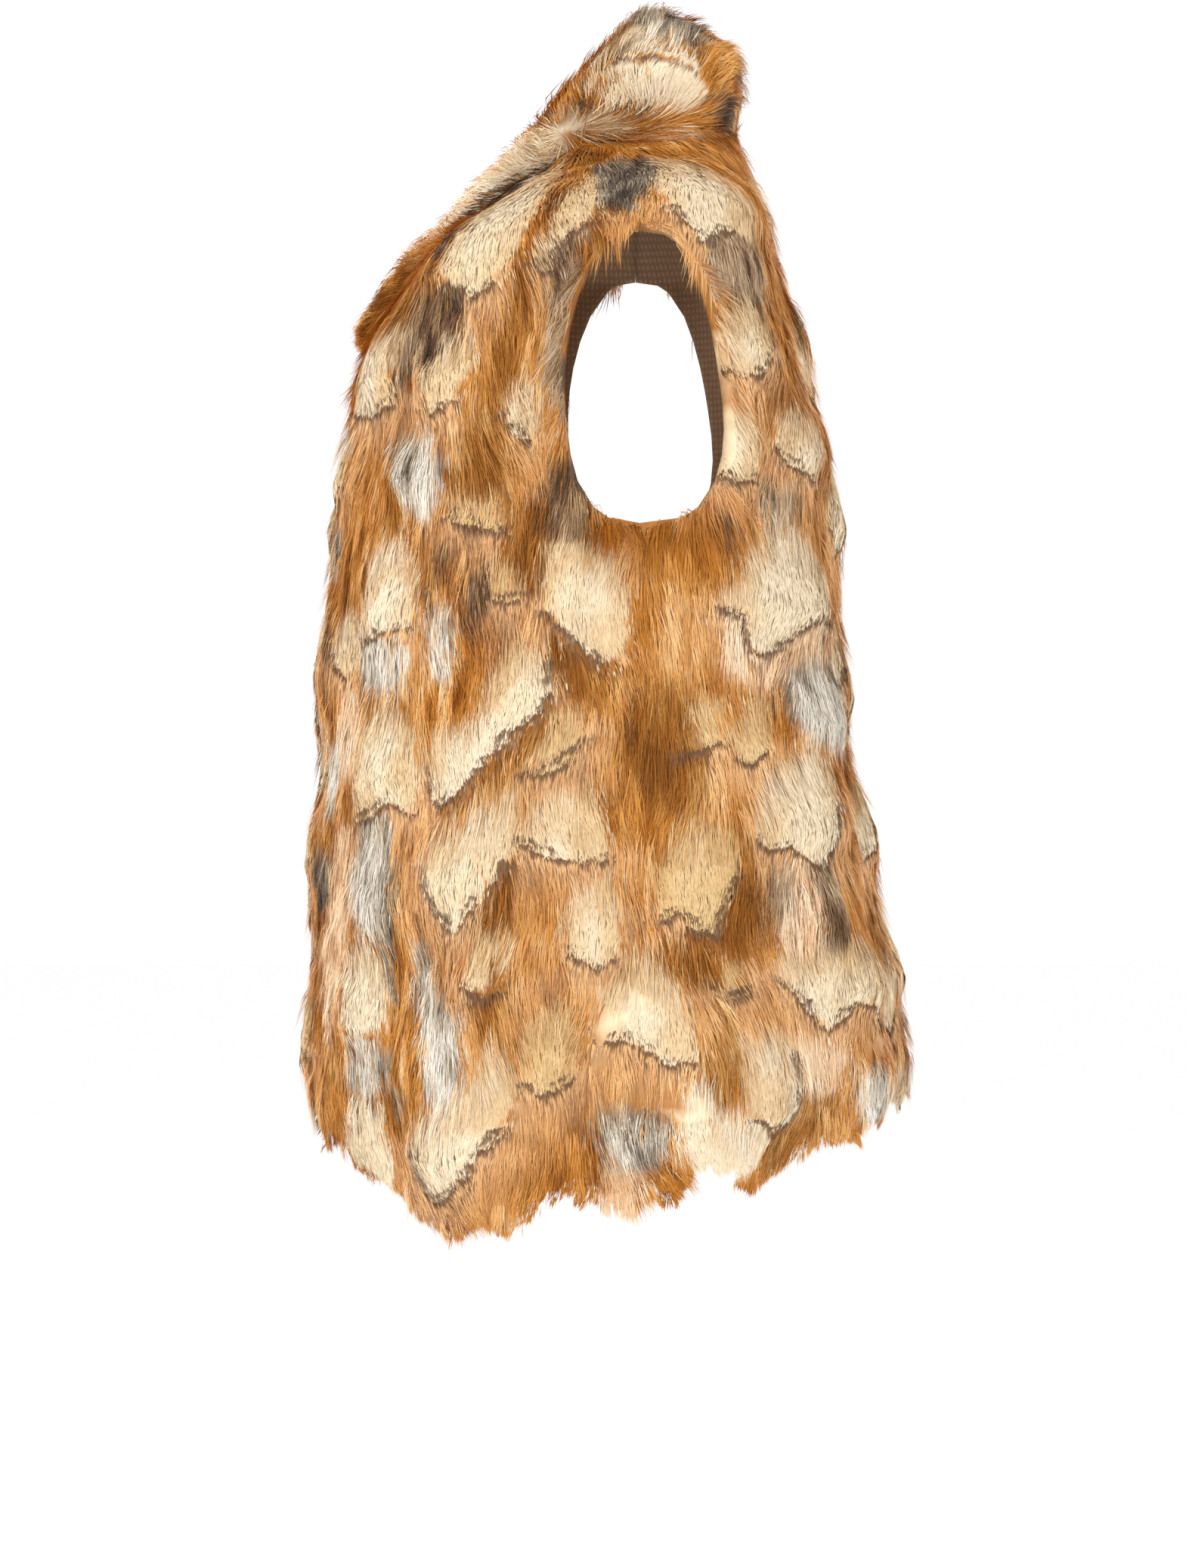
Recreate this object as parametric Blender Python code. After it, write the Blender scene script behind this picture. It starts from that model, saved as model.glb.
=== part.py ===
"""Hip-length sleeveless vest in long-pile fur cloth: two fronts, a back and a collar.

Every piece is one closed wall. Its inside is the plain worn shape of the cloth, and its outside
is the top of the lying pile, raised where a pale plate of fur stands over the hair below it.
The wearer faces -Y and their left is +X. The origin lies between the two shoulder seams.
"""

import math
from collections import namedtuple

import bmesh
import bpy
import numpy as np

MM = 0.001
MIRROR = np.array((-1, 1, 1))

# Driving sizes of the cut, in millimetres
SEAM_GAP = 0.3
COLLAR_SEAM_GAP = 0.5
FRONT_EDGE_GAP = 1.2
PILE_LOW = 13.0
PLATE_RISE = 8.0
PLATE_CREST = 0.8
PLATE_STEP = 0.14
PLATE_SHOULDER = 0.62
EDGE_PILE = 9.0
EDGE_ROLL = 26.0
COLLAR_CLEAR = 40.0
HEM_PILE = 6.0
HEM_TAPER = 34.0
HEM_LOCK_DROP = 9.0
HEM_LOCKS_ROUND = 38
HEM_SWAGS_ROUND = 14
HEM_LOCK_SHARE = 0.6

# The vertical line that angles round the garment are measured about, and the side seams' place
AXIS_Y = -30.0
SIDE_Y = -3.0
FRONT_SQUARE = 2.2
BACK_SQUARE = 2.5

# Levels of the cut, measured down the cloth from the neck seam
SHOULDER_POINT = 125.0
COLLAR_END = 186.0
FRONT_MEETS = 214.0
UNDERARM = 306.0
FLARE_STARTS = 450.0
HEM_LEVEL = 700.0

# Spacing of the wall's points
ROW_STEP = 18.0
COLUMN_STEP = 19.5
FRONT_WIDTH = 330.0
BACK_WIDTH = 590.0

# The cloth's inside at each level: half the width, how far the front and back reach from the
# side seams' line, and the heights of the level at the centre front, the sides and the centre back
Section = namedtuple("Section", "down half_width front back z_front z_side z_back")
SECTIONS = (
    Section(0, 84, -66, 47, 12, 8, 27),
    Section(45, 118, -85, 58, -12, -10, 0),
    Section(90, 160, -110, 69, -40, -31, -30),
    Section(125, 186, -134, 74, -66, -49, -58),
    Section(165, 189, -158, 82, -95, -86, -92),
    Section(205, 187, -174, 93, -130, -128, -130),
    Section(250, 185, -178, 106, -176, -176, -176),
    Section(306, 187, -187, 111, -232, -232, -232),
    Section(370, 193, -193, 113, -296, -296, -296),
    Section(450, 202, -195, 121, -376, -376, -376),
    Section(550, 214, -200, 139, -476, -476, -476),
    Section(640, 224, -200, 154, -566, -566, -566),
    Section(760, 231, -195, 162, -686, -686, -686),
)

# How far down the hair of the hem reaches, round one half from the centre front to the back
HemPoint = namedtuple("HemPoint", "around down")
HEM = (
    HemPoint(0, 697),
    HemPoint(28, 711),
    HemPoint(40, 721),
    HemPoint(56, 742),
    HemPoint(90, 725),
    HemPoint(135, 690),
    HemPoint(180, 671),
)

# Where the collar's seam leaves the front edge and climbs to the neck: the angle round at a level
NeckEdge = namedtuple("NeckEdge", "down around")
NECK_EDGE = (
    NeckEdge(0, 64),
    NeckEdge(45, 45),
    NeckEdge(90, 29),
    NeckEdge(125, 19),
    NeckEdge(165, 10),
    NeckEdge(186, 6.5),
    NeckEdge(214, 0.0),
)

# How far the armhole cuts into the front and the back, in degrees from the side seam, how square
# it is, where its ends have rows of their own, and over what length the pile thins there
ARMHOLE_FRONT = 13.5
ARMHOLE_BACK = 25.0
ARMHOLE_SQUARE = 2.3
ARMHOLE_TOP_ROWS = (2.5, 8.0)
ARMHOLE_FOOT_ROWS = (28.0, 11.0, 3.5)
ARMHOLE_THINS = 24.0

# Soft vertical folds that open towards the hem, negative where the cloth falls inwards
Fold = namedtuple("Fold", "around depth spread starts")
FOLDS = (
    Fold(22, 7, 11, 330),
    Fold(44, -6, 10, 380),
    Fold(63, 11, 13, 330),
    Fold(84, -9, 10, 360),
    Fold(104, 10, 11, 380),
    Fold(124, -9, 9, 360),
    Fold(142, 8, 10, 400),
    Fold(161, -6, 9, 420),
    Fold(180, 6, 10, 400),
    Fold(200, -7, 10, 380),
    Fold(221, 9, 11, 400),
    Fold(243, -9, 10, 360),
    Fold(266, 10, 12, 340),
    Fold(288, -8, 10, 380),
    Fold(309, 9, 12, 350),
    Fold(333, -5, 10, 400),
)

# The pale plates of the fur on the left half: their middle, by angle and height, and their size.
# The right half has the same plates, one place further down and round.
Plate = namedtuple("Plate", "around height wide long")
PLATES = (
    Plate(67, -49, 120, 66),
    Plate(83, -36, 48, 52),
    Plate(115, -24, 100, 40),
    Plate(38, -120, 55, 56),
    Plate(59, -137, 42, 32),
    Plate(75, -156, 22, 36),
    Plate(120, -116, 46, 46),
    Plate(116, -178, 30, 46),
    Plate(138, -167, 75, 58),
    Plate(163, -92, 70, 60),
    Plate(162, -212, 66, 62),
    Plate(16, -182, 56, 66),
    Plate(50, -190, 46, 50),
    Plate(66, -222, 30, 22),
    Plate(46, -260, 56, 76),
    Plate(86, -267, 32, 84),
    Plate(128, -268, 105, 60),
    Plate(17, -300, 56, 74),
    Plate(96, -325, 44, 54),
    Plate(136, -340, 90, 42),
    Plate(166, -318, 66, 58),
    Plate(72, -349, 70, 78),
    Plate(116, -364, 28, 36),
    Plate(47, -373, 56, 66),
    Plate(94, -398, 44, 58),
    Plate(129, -400, 90, 66),
    Plate(163, -410, 66, 60),
    Plate(16, -420, 56, 74),
    Plate(83, -422, 36, 36),
    Plate(69, -437, 62, 74),
    Plate(106, -444, 50, 58),
    Plate(46, -457, 50, 66),
    Plate(127, -466, 54, 54),
    Plate(91, -475, 44, 58),
    Plate(166, -498, 62, 56),
    Plate(72, -504, 24, 36),
    Plate(134, -506, 120, 44),
    Plate(41, -527, 42, 46),
    Plate(98, -533, 46, 44),
    Plate(17, -545, 56, 70),
    Plate(62, -544, 46, 74),
    Plate(83, -552, 38, 54),
    Plate(116, -574, 54, 58),
    Plate(139, -580, 90, 42),
    Plate(166, -578, 60, 44),
    Plate(95, -595, 55, 54),
    Plate(107, -609, 54, 36),
    Plate(69, -610, 80, 50),
    Plate(45, -610, 46, 64),
)
RIGHT_SHIFT_AROUND = 7.0
RIGHT_SHIFT_DOWN = 24.0

# The collar's free edge along its left half, from the chest to the nape, and how far the collar
# bulges between its seam and that edge
CollarEdge = namedtuple("CollarEdge", "along x y z bulge")
COLLAR = (
    CollarEdge(0.00, 20, -175, -104, 1),
    CollarEdge(0.14, 42, -149, -66, 3),
    CollarEdge(0.28, 63, -115, -37, 4),
    CollarEdge(0.39, 67, -91, -10, 5),
    CollarEdge(0.49, 67, -70, 13, 6),
    CollarEdge(0.58, 65, -52, 37, 8),
    CollarEdge(0.66, 62, -30, 63, 9),
    CollarEdge(0.74, 57, -11, 85, 11),
    CollarEdge(0.82, 45, 1, 96, 13),
    CollarEdge(0.90, 25, 8, 100, 14),
    CollarEdge(1.00, 0, 11, 102, 14),
)
COLLAR_OUTER_PILE = 20.0
COLLAR_INNER_PILE = 11.0
COLLAR_TOP_PILE = 8.0
COLLAR_SWELL = 0.2
COLLAR_LAYERS = 4
COLLAR_SKIP = 4

# Colours of the fur in linear light, and how it takes the light
FUR_COLOURS = {
    "front_left": (0.50, 0.27, 0.10),
    "front_right": (0.50, 0.27, 0.10),
    "back": (0.47, 0.25, 0.09),
    "collar": (0.55, 0.36, 0.19),
}
FUR_ROUGHNESS = 0.75


def smooth_between(at, knots, values):
    """A smooth curve through the values at the knots, read at each place."""
    knots = np.asarray(knots, float)
    values = np.asarray(values, float)
    slopes = np.gradient(values, knots)
    at = np.clip(at, knots[0], knots[-1])
    i = np.clip(np.searchsorted(knots, at) - 1, 0, len(knots) - 2)
    span = knots[i + 1] - knots[i]
    t = (at - knots[i]) / span
    start = (1 + 2 * t) * (1 - t) ** 2 * values[i] + t * (1 - t) ** 2 * span * slopes[i]
    end = t * t * (3 - 2 * t) * values[i + 1] + t * t * (t - 1) * span * slopes[i + 1]
    return start + end


def read(table, by, name, at):
    """One named column of a table, read smoothly at places along another."""
    return smooth_between(at, [getattr(r, by) for r in table], [getattr(r, name) for r in table])


def ease(t):
    """0 below 0, 1 above 1 and a soft step between."""
    t = np.clip(t, 0, 1)
    return t * t * (3 - 2 * t)


def bell(t):
    """1 at 0, falling softly to 0 at 1 and -1."""
    return ease(1 - np.abs(t))


def turned(degrees):
    """An angle as -180 to 180."""
    return (np.asarray(degrees, float) + 180) % 360 - 180


def unit(vectors):
    return vectors / np.linalg.norm(vectors, axis=-1, keepdims=True)


def form(around, down):
    """Points of the cloth's inside, in millimetres, at an angle round and a level down."""
    around, down = np.broadcast_arrays(np.asarray(around, float), np.asarray(down, float))
    turn = np.radians(around)
    fore = np.cos(turn) > 0
    power = 2 / np.where(fore, FRONT_SQUARE, BACK_SQUARE)
    sideways = np.sign(np.sin(turn)) * np.abs(np.sin(turn)) ** power
    endways = np.abs(np.cos(turn)) ** power

    def size(name):
        return read(SECTIONS, "down", name, down)

    reach = np.where(fore, size("front"), size("back")) - SIDE_Y
    rise = np.where(fore, size("z_front"), size("z_back")) - size("z_side")
    points = np.stack(
        [size("half_width") * sideways, SIDE_Y + reach * endways, size("z_side") + rise * endways**2], -1
    )
    outward = unit(points * (1, 1, 0) - (0, SIDE_Y, 0))
    return points + outward * fold_depth(around, down)[..., None]


def fold_depth(around, down):
    """How far the folds push the cloth out at each place."""
    depth = np.zeros(np.shape(around))
    for fold in FOLDS:
        opening = ease((down - fold.starts) / (HEM_LEVEL - fold.starts))
        depth = depth + fold.depth * opening * bell(turned(around - fold.around) / (2 * fold.spread))
    return depth


def outward(around, down):
    """Directions that point out of the cloth."""
    turn, step = 0.25, 1.5
    along = form(around + turn, down) - form(around - turn, down)
    below = form(around, down + step) - form(around, np.maximum(down - step, 0))
    return unit(np.cross(below, along))


def plate_rise(points):
    """How far the plates lift the top of the pile: slowly from above, ending in a step."""
    x, y, z = np.moveaxis(points, -1, 0)
    around = np.degrees(np.arctan2(x, AXIS_Y - y))
    radius = np.hypot(x, y - AXIS_Y)
    rise = np.zeros(np.shape(x))
    for side in (1, -1):
        for plate in PLATES:
            middle = side * plate.around + (side < 0) * RIGHT_SHIFT_AROUND
            top = plate.height + plate.long / 2 - (side < 0) * RIGHT_SHIFT_DOWN
            across = np.radians(turned(around - middle)) * radius / (plate.wide / 2)
            along = (top - z) / plate.long
            slope = ease(along / PLATE_CREST) * ease((1 + PLATE_STEP - along) / PLATE_STEP)
            breadth = ease((1 + PLATE_STEP - np.abs(across)) / PLATE_SHOULDER)
            rise = np.maximum(rise, slope * breadth)
    return PLATE_RISE * rise


def hem_down(around):
    """The level that the hair of the hem reaches, ragged with locks."""
    folded = np.abs(turned(around))
    smooth = read(HEM, "around", "down", folded)
    turn = np.radians(around)
    locks, swags = np.sin(HEM_LOCKS_ROUND * turn), np.cos(HEM_SWAGS_ROUND * turn)
    return smooth + HEM_LOCK_DROP * (HEM_LOCK_SHARE * locks + (1 - HEM_LOCK_SHARE) * swags)


def armhole_cut(down, most):
    """How far the armhole's edge lies from the side seam at a level, in degrees."""
    t = np.clip((down - SHOULDER_POINT) / (UNDERARM - SHOULDER_POINT), 0, 1)
    return most * (1 - np.abs(2 * t - 1) ** ARMHOLE_SQUARE) ** (1 / ARMHOLE_SQUARE)


def front_edge(down):
    """The angle of a front's inner edge: the centre front, and the collar's seam above it."""
    return np.where(down < FRONT_MEETS, read(NECK_EDGE, "down", "around", down), 0.0)


def levels():
    """The rows' levels on a plain quarter, with rows at the cut's own levels."""
    top = [SHOULDER_POINT + step for step in ARMHOLE_TOP_ROWS]
    foot = [UNDERARM - step for step in ARMHOLE_FOOT_ROWS]
    marks = (0, SHOULDER_POINT, *top, COLLAR_END, FRONT_MEETS, *foot, UNDERARM, FLARE_STARTS, HEM_LEVEL)
    rows = [0.0]
    for low, high in zip(marks, marks[1:]):
        count = max(1, round((high - low) / ROW_STEP))
        rows += [low + (high - low) * (i + 1) / count for i in range(count)]
    return np.array(rows)


def gap_angle(around, down, gap):
    """The angle that a gap along the cloth takes at a place."""
    step = 0.5
    length = np.linalg.norm(form(around + step, down) - form(around - step, down), axis=-1)
    return gap / np.maximum(length, 1e-6) * 2 * step


def pile_height(around, down, points, edges):
    """How far the pile stands out of the cloth, lower towards the hem and free edges."""
    low, high = edges
    near = np.minimum(np.abs(around - low), np.abs(high - around))
    radius = np.hypot(points[..., 0], points[..., 1] - SIDE_Y)
    inset = np.radians(near) * radius
    free = ease(np.minimum(down - SHOULDER_POINT, UNDERARM - down) / ARMHOLE_THINS)
    rolled = EDGE_PILE + (PILE_LOW - EDGE_PILE) * ease(inset / EDGE_ROLL)
    from_edge = np.radians(np.abs(turned(around)) - front_edge(down)) * radius
    clear = np.where(down < FRONT_MEETS, ease(np.minimum(down, from_edge) / COLLAR_CLEAR), 1)
    height = PILE_LOW + (rolled - PILE_LOW) * free + plate_rise(points) * clear
    above_hem = hem_down(around) - down
    taper = ease(above_hem / HEM_TAPER)
    return HEM_PILE + (height - HEM_PILE) * taper


def panel_wall(low_edge, high_edge, columns):
    """The inner and outer points of a panel between two edges, row by row from the neck down."""
    plain = levels()[:, None]
    t = np.linspace(0, 1, columns)[None, :]
    low, high = low_edge(plain), high_edge(plain)
    around = low + (high - low) * t
    share = np.clip((plain - FLARE_STARTS) / (HEM_LEVEL - FLARE_STARTS), 0, 1)
    down = plain + share * (hem_down(around) - HEM_LEVEL)
    inner = form(around, down)
    height = pile_height(around, down, inner, (low, high))
    return inner, inner + outward(around, down) * height[..., None]


def wall_object(name, inner, outer):
    """A closed wall between two grids of points, in millimetres."""
    rows, columns = inner.shape[:2]
    bm = bmesh.new()
    inside = [[bm.verts.new(p * MM) for p in row] for row in inner]
    outside = [[bm.verts.new(p * MM) for p in row] for row in outer]
    for r in range(rows - 1):
        for c in range(columns - 1):
            bm.faces.new((outside[r][c], outside[r + 1][c], outside[r + 1][c + 1], outside[r][c + 1]))
            bm.faces.new((inside[r][c], inside[r][c + 1], inside[r + 1][c + 1], inside[r + 1][c]))
    rim = [(0, c) for c in range(columns)] + [(r, columns - 1) for r in range(1, rows)]
    rim += [(rows - 1, c) for c in range(columns - 2, -1, -1)] + [(r, 0) for r in range(rows - 2, 0, -1)]
    for (r, c), (r2, c2) in zip(rim, rim[1:] + rim[:1]):
        bm.faces.new((outside[r][c], outside[r2][c2], inside[r2][c2], inside[r][c]))
    return finished(name, bm)


def finished(name, bm):
    """The mesh as a named object in its fur, with its faces pointing out."""
    bmesh.ops.recalc_face_normals(bm, faces=bm.faces)
    mesh = bpy.data.meshes.new(name)
    bm.to_mesh(mesh)
    bm.free()
    mesh.shade_smooth()
    mesh.set_sharp_from_angle(angle=math.radians(50))
    mesh.materials.append(fur_material(name))
    piece = bpy.data.objects.new(name, mesh)
    bpy.context.scene.collection.objects.link(piece)
    return piece


def fur_material(name):
    material = bpy.data.materials.new(name + "_fur")
    material.use_nodes = True
    shader = material.node_tree.nodes["Principled BSDF"]
    shader.inputs["Base Color"].default_value = (*FUR_COLOURS[name], 1)
    shader.inputs["Roughness"].default_value = FUR_ROUGHNESS
    shader.inputs["Metallic"].default_value = 0.0
    return material


def left_front_edge(down):
    return front_edge(down) + gap_angle(front_edge(down), down, FRONT_EDGE_GAP / 2)


def left_front_side(down):
    edge = 90 - armhole_cut(down, ARMHOLE_FRONT)
    return edge - gap_angle(edge, down, SEAM_GAP / 2)


def left_back_side(down):
    edge = 90 + armhole_cut(down, ARMHOLE_BACK)
    return edge + gap_angle(edge, down, SEAM_GAP / 2)


def columns_for(width):
    return round(width / COLUMN_STEP) + 1


def front_wall(side):
    """The left front for a side of 1, and the right one for -1, row by row from the neck down."""
    columns = columns_for(FRONT_WIDTH)
    if side > 0:
        return panel_wall(left_front_edge, left_front_side, columns)
    return panel_wall(lambda d: 360 - left_front_side(d), lambda d: 360 - left_front_edge(d), columns)


def back_wall():
    return panel_wall(left_back_side, lambda d: 360 - left_back_side(d), columns_for(BACK_WIDTH))


def make_fronts():
    wall_object("front_left", *front_wall(1))
    wall_object("front_right", *front_wall(-1))


def make_back():
    wall_object("back", *back_wall())


def collar_seam():
    """The rims that the collar's left half is sewn to, from the chest to the nape."""
    start = int(np.argmin(np.abs(levels() - COLLAR_END)))
    rims = []
    for front, back in zip(front_wall(1), back_wall()):
        half = (back.shape[1] + 1) // 2
        shoulder = front[0, COLLAR_SKIP:-1:COLLAR_SKIP]
        rims.append(np.concatenate([front[start::-1, 0], shoulder, front[0, -1:], back[0, 1:half]]))
    return rims


def seam_heading(points):
    """The way that a line of points from the chest to the nape runs, square across at the nape."""
    mirrored = points[..., -2:-1, :] * MIRROR
    return unit(np.gradient(np.concatenate([points, mirrored], -2), axis=-2)[..., :-1, :])


def collar_half():
    """The loops across the collar's left half: up the inside, over the free edge, down the outside."""
    inner, outer = collar_seam()
    half_base = np.linalg.norm(outer - inner, axis=1)[:, None] / 2
    normal = unit(outer - inner)
    middle = (inner + outer) / 2
    ahead = seam_heading(middle)
    start = middle + unit(np.cross(normal, ahead)) * COLLAR_SEAM_GAP
    steps = np.linalg.norm(np.diff(middle, axis=0), axis=1)
    along = np.concatenate([[0], np.cumsum(steps)]) / steps.sum()
    edge = np.stack([read(COLLAR, "along", name, along) for name in "xyz"], -1)
    face = unit(np.cross(ahead, edge - start))
    bend = (start + edge) / 2 + face * 2 * read(COLLAR, "along", "bulge", along)[:, None]
    swell = np.linalg.norm(edge - start, axis=1)[:, None] * COLLAR_SWELL

    inside, outside = [], []
    for t in np.linspace(0, 1, COLLAR_LAYERS + 1):
        layer = (1 - t) ** 2 * start + 2 * t * (1 - t) * bend + t * t * edge
        way = unit((1 - t) * (bend - start) + t * (edge - bend))
        turned_out = unit(np.cross(seam_heading(layer), way))
        out = unit(normal + (turned_out - normal) * ease(3 * t))
        for side, pile, wall in ((-1, COLLAR_INNER_PILE, inside), (1, COLLAR_OUTER_PILE, outside)):
            full = half_base + np.minimum(swell, pile - half_base) * ease(2 * t)
            half = full + (COLLAR_TOP_PILE - full) * ease(2 * t - 1)
            wall.append(layer + out * side * half)
    crest = edge + unit(edge - bend) * COLLAR_TOP_PILE
    return np.stack(inside + [crest] + outside[::-1], 1)


def make_collar():
    left = collar_half()
    rings = np.concatenate([left, left[-2::-1] * MIRROR])
    bm = bmesh.new()
    loops = [[bm.verts.new(p * MM) for p in ring] for ring in rings]
    for one, other in zip(loops, loops[1:]):
        for k in range(len(one)):
            n = (k + 1) % len(one)
            bm.faces.new((one[k], one[n], other[n], other[k]))
    bm.faces.new(loops[0])
    bm.faces.new(loops[-1])
    return finished("collar", bm)


def clear_scene():
    for thing in list(bpy.data.objects):
        bpy.data.objects.remove(thing)


def main():
    clear_scene()
    make_fronts()
    make_back()
    make_collar()


main()
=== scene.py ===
"""A hip-length fur vest, worn and hollow: knitted ground cloth, underwool and lying hair."""

import math
from collections import namedtuple

import bmesh
import bpy
import numpy as np
from mathutils.bvhtree import BVHTree
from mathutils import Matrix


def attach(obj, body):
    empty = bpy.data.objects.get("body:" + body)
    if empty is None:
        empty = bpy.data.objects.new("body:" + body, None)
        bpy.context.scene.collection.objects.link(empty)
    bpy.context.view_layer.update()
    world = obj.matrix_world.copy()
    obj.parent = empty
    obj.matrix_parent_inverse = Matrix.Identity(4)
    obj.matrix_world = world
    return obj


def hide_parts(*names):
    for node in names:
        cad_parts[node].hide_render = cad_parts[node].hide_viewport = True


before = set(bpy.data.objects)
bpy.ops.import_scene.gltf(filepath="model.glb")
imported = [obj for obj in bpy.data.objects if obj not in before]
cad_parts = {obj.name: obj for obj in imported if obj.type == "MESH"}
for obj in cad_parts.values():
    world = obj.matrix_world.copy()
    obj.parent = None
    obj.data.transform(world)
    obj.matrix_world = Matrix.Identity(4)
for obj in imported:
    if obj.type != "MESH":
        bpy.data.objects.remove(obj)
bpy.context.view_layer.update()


# The studio: a plain pale floor under a white room, two broad soft lamps on the side that is
# looked at, and a long lens square on to the wearer's left side.
FRAME_HIGH = 2075
FOCAL_PIXELS = 7690
SENSOR = 36
CAMERA_PLACE = (3.8, -0.031, -0.393)
ROOM_LIGHT = 1.03
FLOOR_HEIGHT = -1.42
FLOOR_WIDE = 60

bpy.context.scene.view_settings.view_transform = "Standard"
bpy.ops.object.select_all(action="DESELECT")
bpy.ops.object.camera_add(location=CAMERA_PLACE, rotation=(math.pi / 2, 0, math.pi / 2))
camera = bpy.context.object
camera.data.sensor_width = SENSOR
camera.data.lens = SENSOR * FOCAL_PIXELS / FRAME_HIGH
camera.data.clip_end = 100
bpy.context.scene.camera = camera


def soft_lamp(place, aim, size, power):
    bpy.ops.object.light_add(type="AREA", location=place)
    lamp = bpy.context.object
    way = np.array(aim, float) - np.array(place, float)
    turn = math.atan2(way[1], way[0]) - math.pi / 2
    lamp.rotation_euler = (math.acos(-way[2] / np.linalg.norm(way)), 0, turn)
    lamp.data.shape = "DISK"
    lamp.data.size = size
    lamp.data.energy = power


soft_lamp(place=(1.6, -2.6, 1.2), aim=(0, 0, -0.30), size=2.2, power=50)
soft_lamp(place=(2.6, 2.2, 0.6), aim=(0, 0, -0.35), size=2.2, power=30)

room = bpy.data.worlds.new("white_room")
bpy.context.scene.world = room
room.use_nodes = True
room.node_tree.nodes["Background"].inputs["Color"].default_value = (1, 1, 1, 1)
room.node_tree.nodes["Background"].inputs["Strength"].default_value = ROOM_LIGHT


class Dye:
    """One value in a finish. Sums, products and differences of it add Math nodes."""

    def __init__(self, tree, socket=None):
        self.tree = tree
        self.socket = socket

    def node(self, kind, sockets, out=0, **settings):
        """Any node, with its settings, the values or links of its sockets, and one output."""
        made = self.tree.nodes.new(kind)
        for name, value in settings.items():
            setattr(made, name, value)
        for key, value in sockets.items():
            if isinstance(value, Dye):
                self.tree.links.new(value.socket, made.inputs[key])
            else:
                made.inputs[key].default_value = value
        return Dye(self.tree, made.outputs[out])

    def sum_of(self, operation, a, b, clamp=False):
        return self.node("ShaderNodeMath", {0: a, 1: b}, operation=operation, use_clamp=clamp)

    def __add__(self, other):
        return self.sum_of("ADD", self, other)

    def __sub__(self, other):
        return self.sum_of("SUBTRACT", self, other)

    def __rsub__(self, other):
        return self.sum_of("SUBTRACT", other, self)

    def __mul__(self, other):
        return self.sum_of("MULTIPLY", self, other)

    def __truediv__(self, other):
        return self.sum_of("DIVIDE", self, other)

    def clamped(self):
        return self.sum_of("ADD", self, 0.0, clamp=True)

    def mixed(self, one, other):
        """Two colours mixed by this value."""
        return self.node("ShaderNodeMix", {0: self, 6: one, 7: other}, out=2, data_type="RGBA")

    def shaded(self, grain, share):
        """This colour made a little darker and lighter by a grain."""
        grey = self.node("ShaderNodeCombineColor", dict.fromkeys((0, 1, 2), grain + 0.5))
        sockets = {0: share, 6: self, 7: grey}
        return self.node("ShaderNodeMix", sockets, out=2, data_type="RGBA", blend_type="MULTIPLY")

    __radd__ = __add__
    __rmul__ = __mul__


def new_finish(name):
    finish = bpy.data.materials.new(name)
    finish.use_nodes = True
    return finish, Dye(finish.node_tree), finish.node_tree.nodes["Principled BSDF"]


def feed(value, shader, socket):
    value.tree.links.new(value.socket, shader.inputs[socket])


bpy.ops.mesh.primitive_plane_add(size=FLOOR_WIDE, location=(0, 0, FLOOR_HEIGHT))
floor = bpy.context.object
floor.name = "floor"
paint, dye, shader = new_finish("pale_floor")
cloud = dye.node("ShaderNodeTexNoise", {"Scale": 1.5, "Detail": 2.0})
feed(cloud.mixed((0.955, 0.955, 0.955, 1), (0.975, 0.975, 0.975, 1)), shader, "Base Color")
shader.inputs["Roughness"].default_value = 0.9
floor.data.materials.append(paint)


# Fur cloth of the fronts and the back: three panels, knitted behind and thick with underwool on
# the face, sewn edge to edge at the shoulders and sides. It ends a little above the hair's tips.
MM = 0.001
WOOL_BELOW_TIPS = 1.4 * MM
WOOL_LEAST = 0.5
HAIR_PAST_CLOTH = 9 * MM
HEM_EASE = 110 * MM
HEM_BELOW = -0.55
CORNER = -0.77
SEAM_CLOSES = 0.2 * MM
LOOP_WIDE = 1.7 * MM
LOOP_HIGH = 2.1 * MM
WAVE_LONG = 0.157
KNIT_PALE = (0.42, 0.27, 0.15, 1)
KNIT_DEEP = (0.22, 0.12, 0.06, 1)
AXIS_Y = -0.030
BODY_ROUND = 0.19
RIGHT_ROUND = 7.0

# Where the hair of the hem ends on the left half, tuft by tuft: degrees round the wearer and
# millimetres up. The right half has the same tufts, a little further round.
FRINGE = (
    (0, -605), (14, -618), (29, -622), (38, -626), (44, -638), (49, -652), (52, -648), (57, -670), (68, -677),
    (78, -662), (86, -643), (90, -650), (95, -664), (98, -645), (101, -650), (104, -630), (109, -628),
    (112, -648), (116, -638), (120, -638), (125, -620), (129, -616), (133, -622), (136, -600), (140, -602),
    (146, -612), (151, -598), (157, -608), (165, -594), (172, -602), (180, -592),
)

# How to tell a panel's outside from its inside: a line up the middle of the wearer, where that
# line stops, and how squarely a face looks away from it
Panel = namedtuple("Panel", "name middle_y middle_top facing flat area")
PANELS = (
    Panel("front_left", -0.03, -0.15, 0.40, (0.33, 0.75), 0.200),
    Panel("front_right", -0.03, -0.15, 0.40, (0.33, 0.75), 0.200),
    Panel("back", -0.05, -0.08, 0.45, (0.60, 0.72), 0.345),
)


def unit(vectors):
    return vectors / np.maximum(np.linalg.norm(vectors, axis=-1, keepdims=True), 1e-12)


def ease(t):
    t = np.clip(t, 0, 1)
    return t * t * (3 - 2 * t)


def turned(degrees):
    return (degrees + 180) % 360 - 180


def around_of(points):
    """The angle round the wearer, 0 at the centre front and 90 at the left side."""
    return np.degrees(np.arctan2(points[:, 0], AXIS_Y - points[:, 1]))


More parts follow.
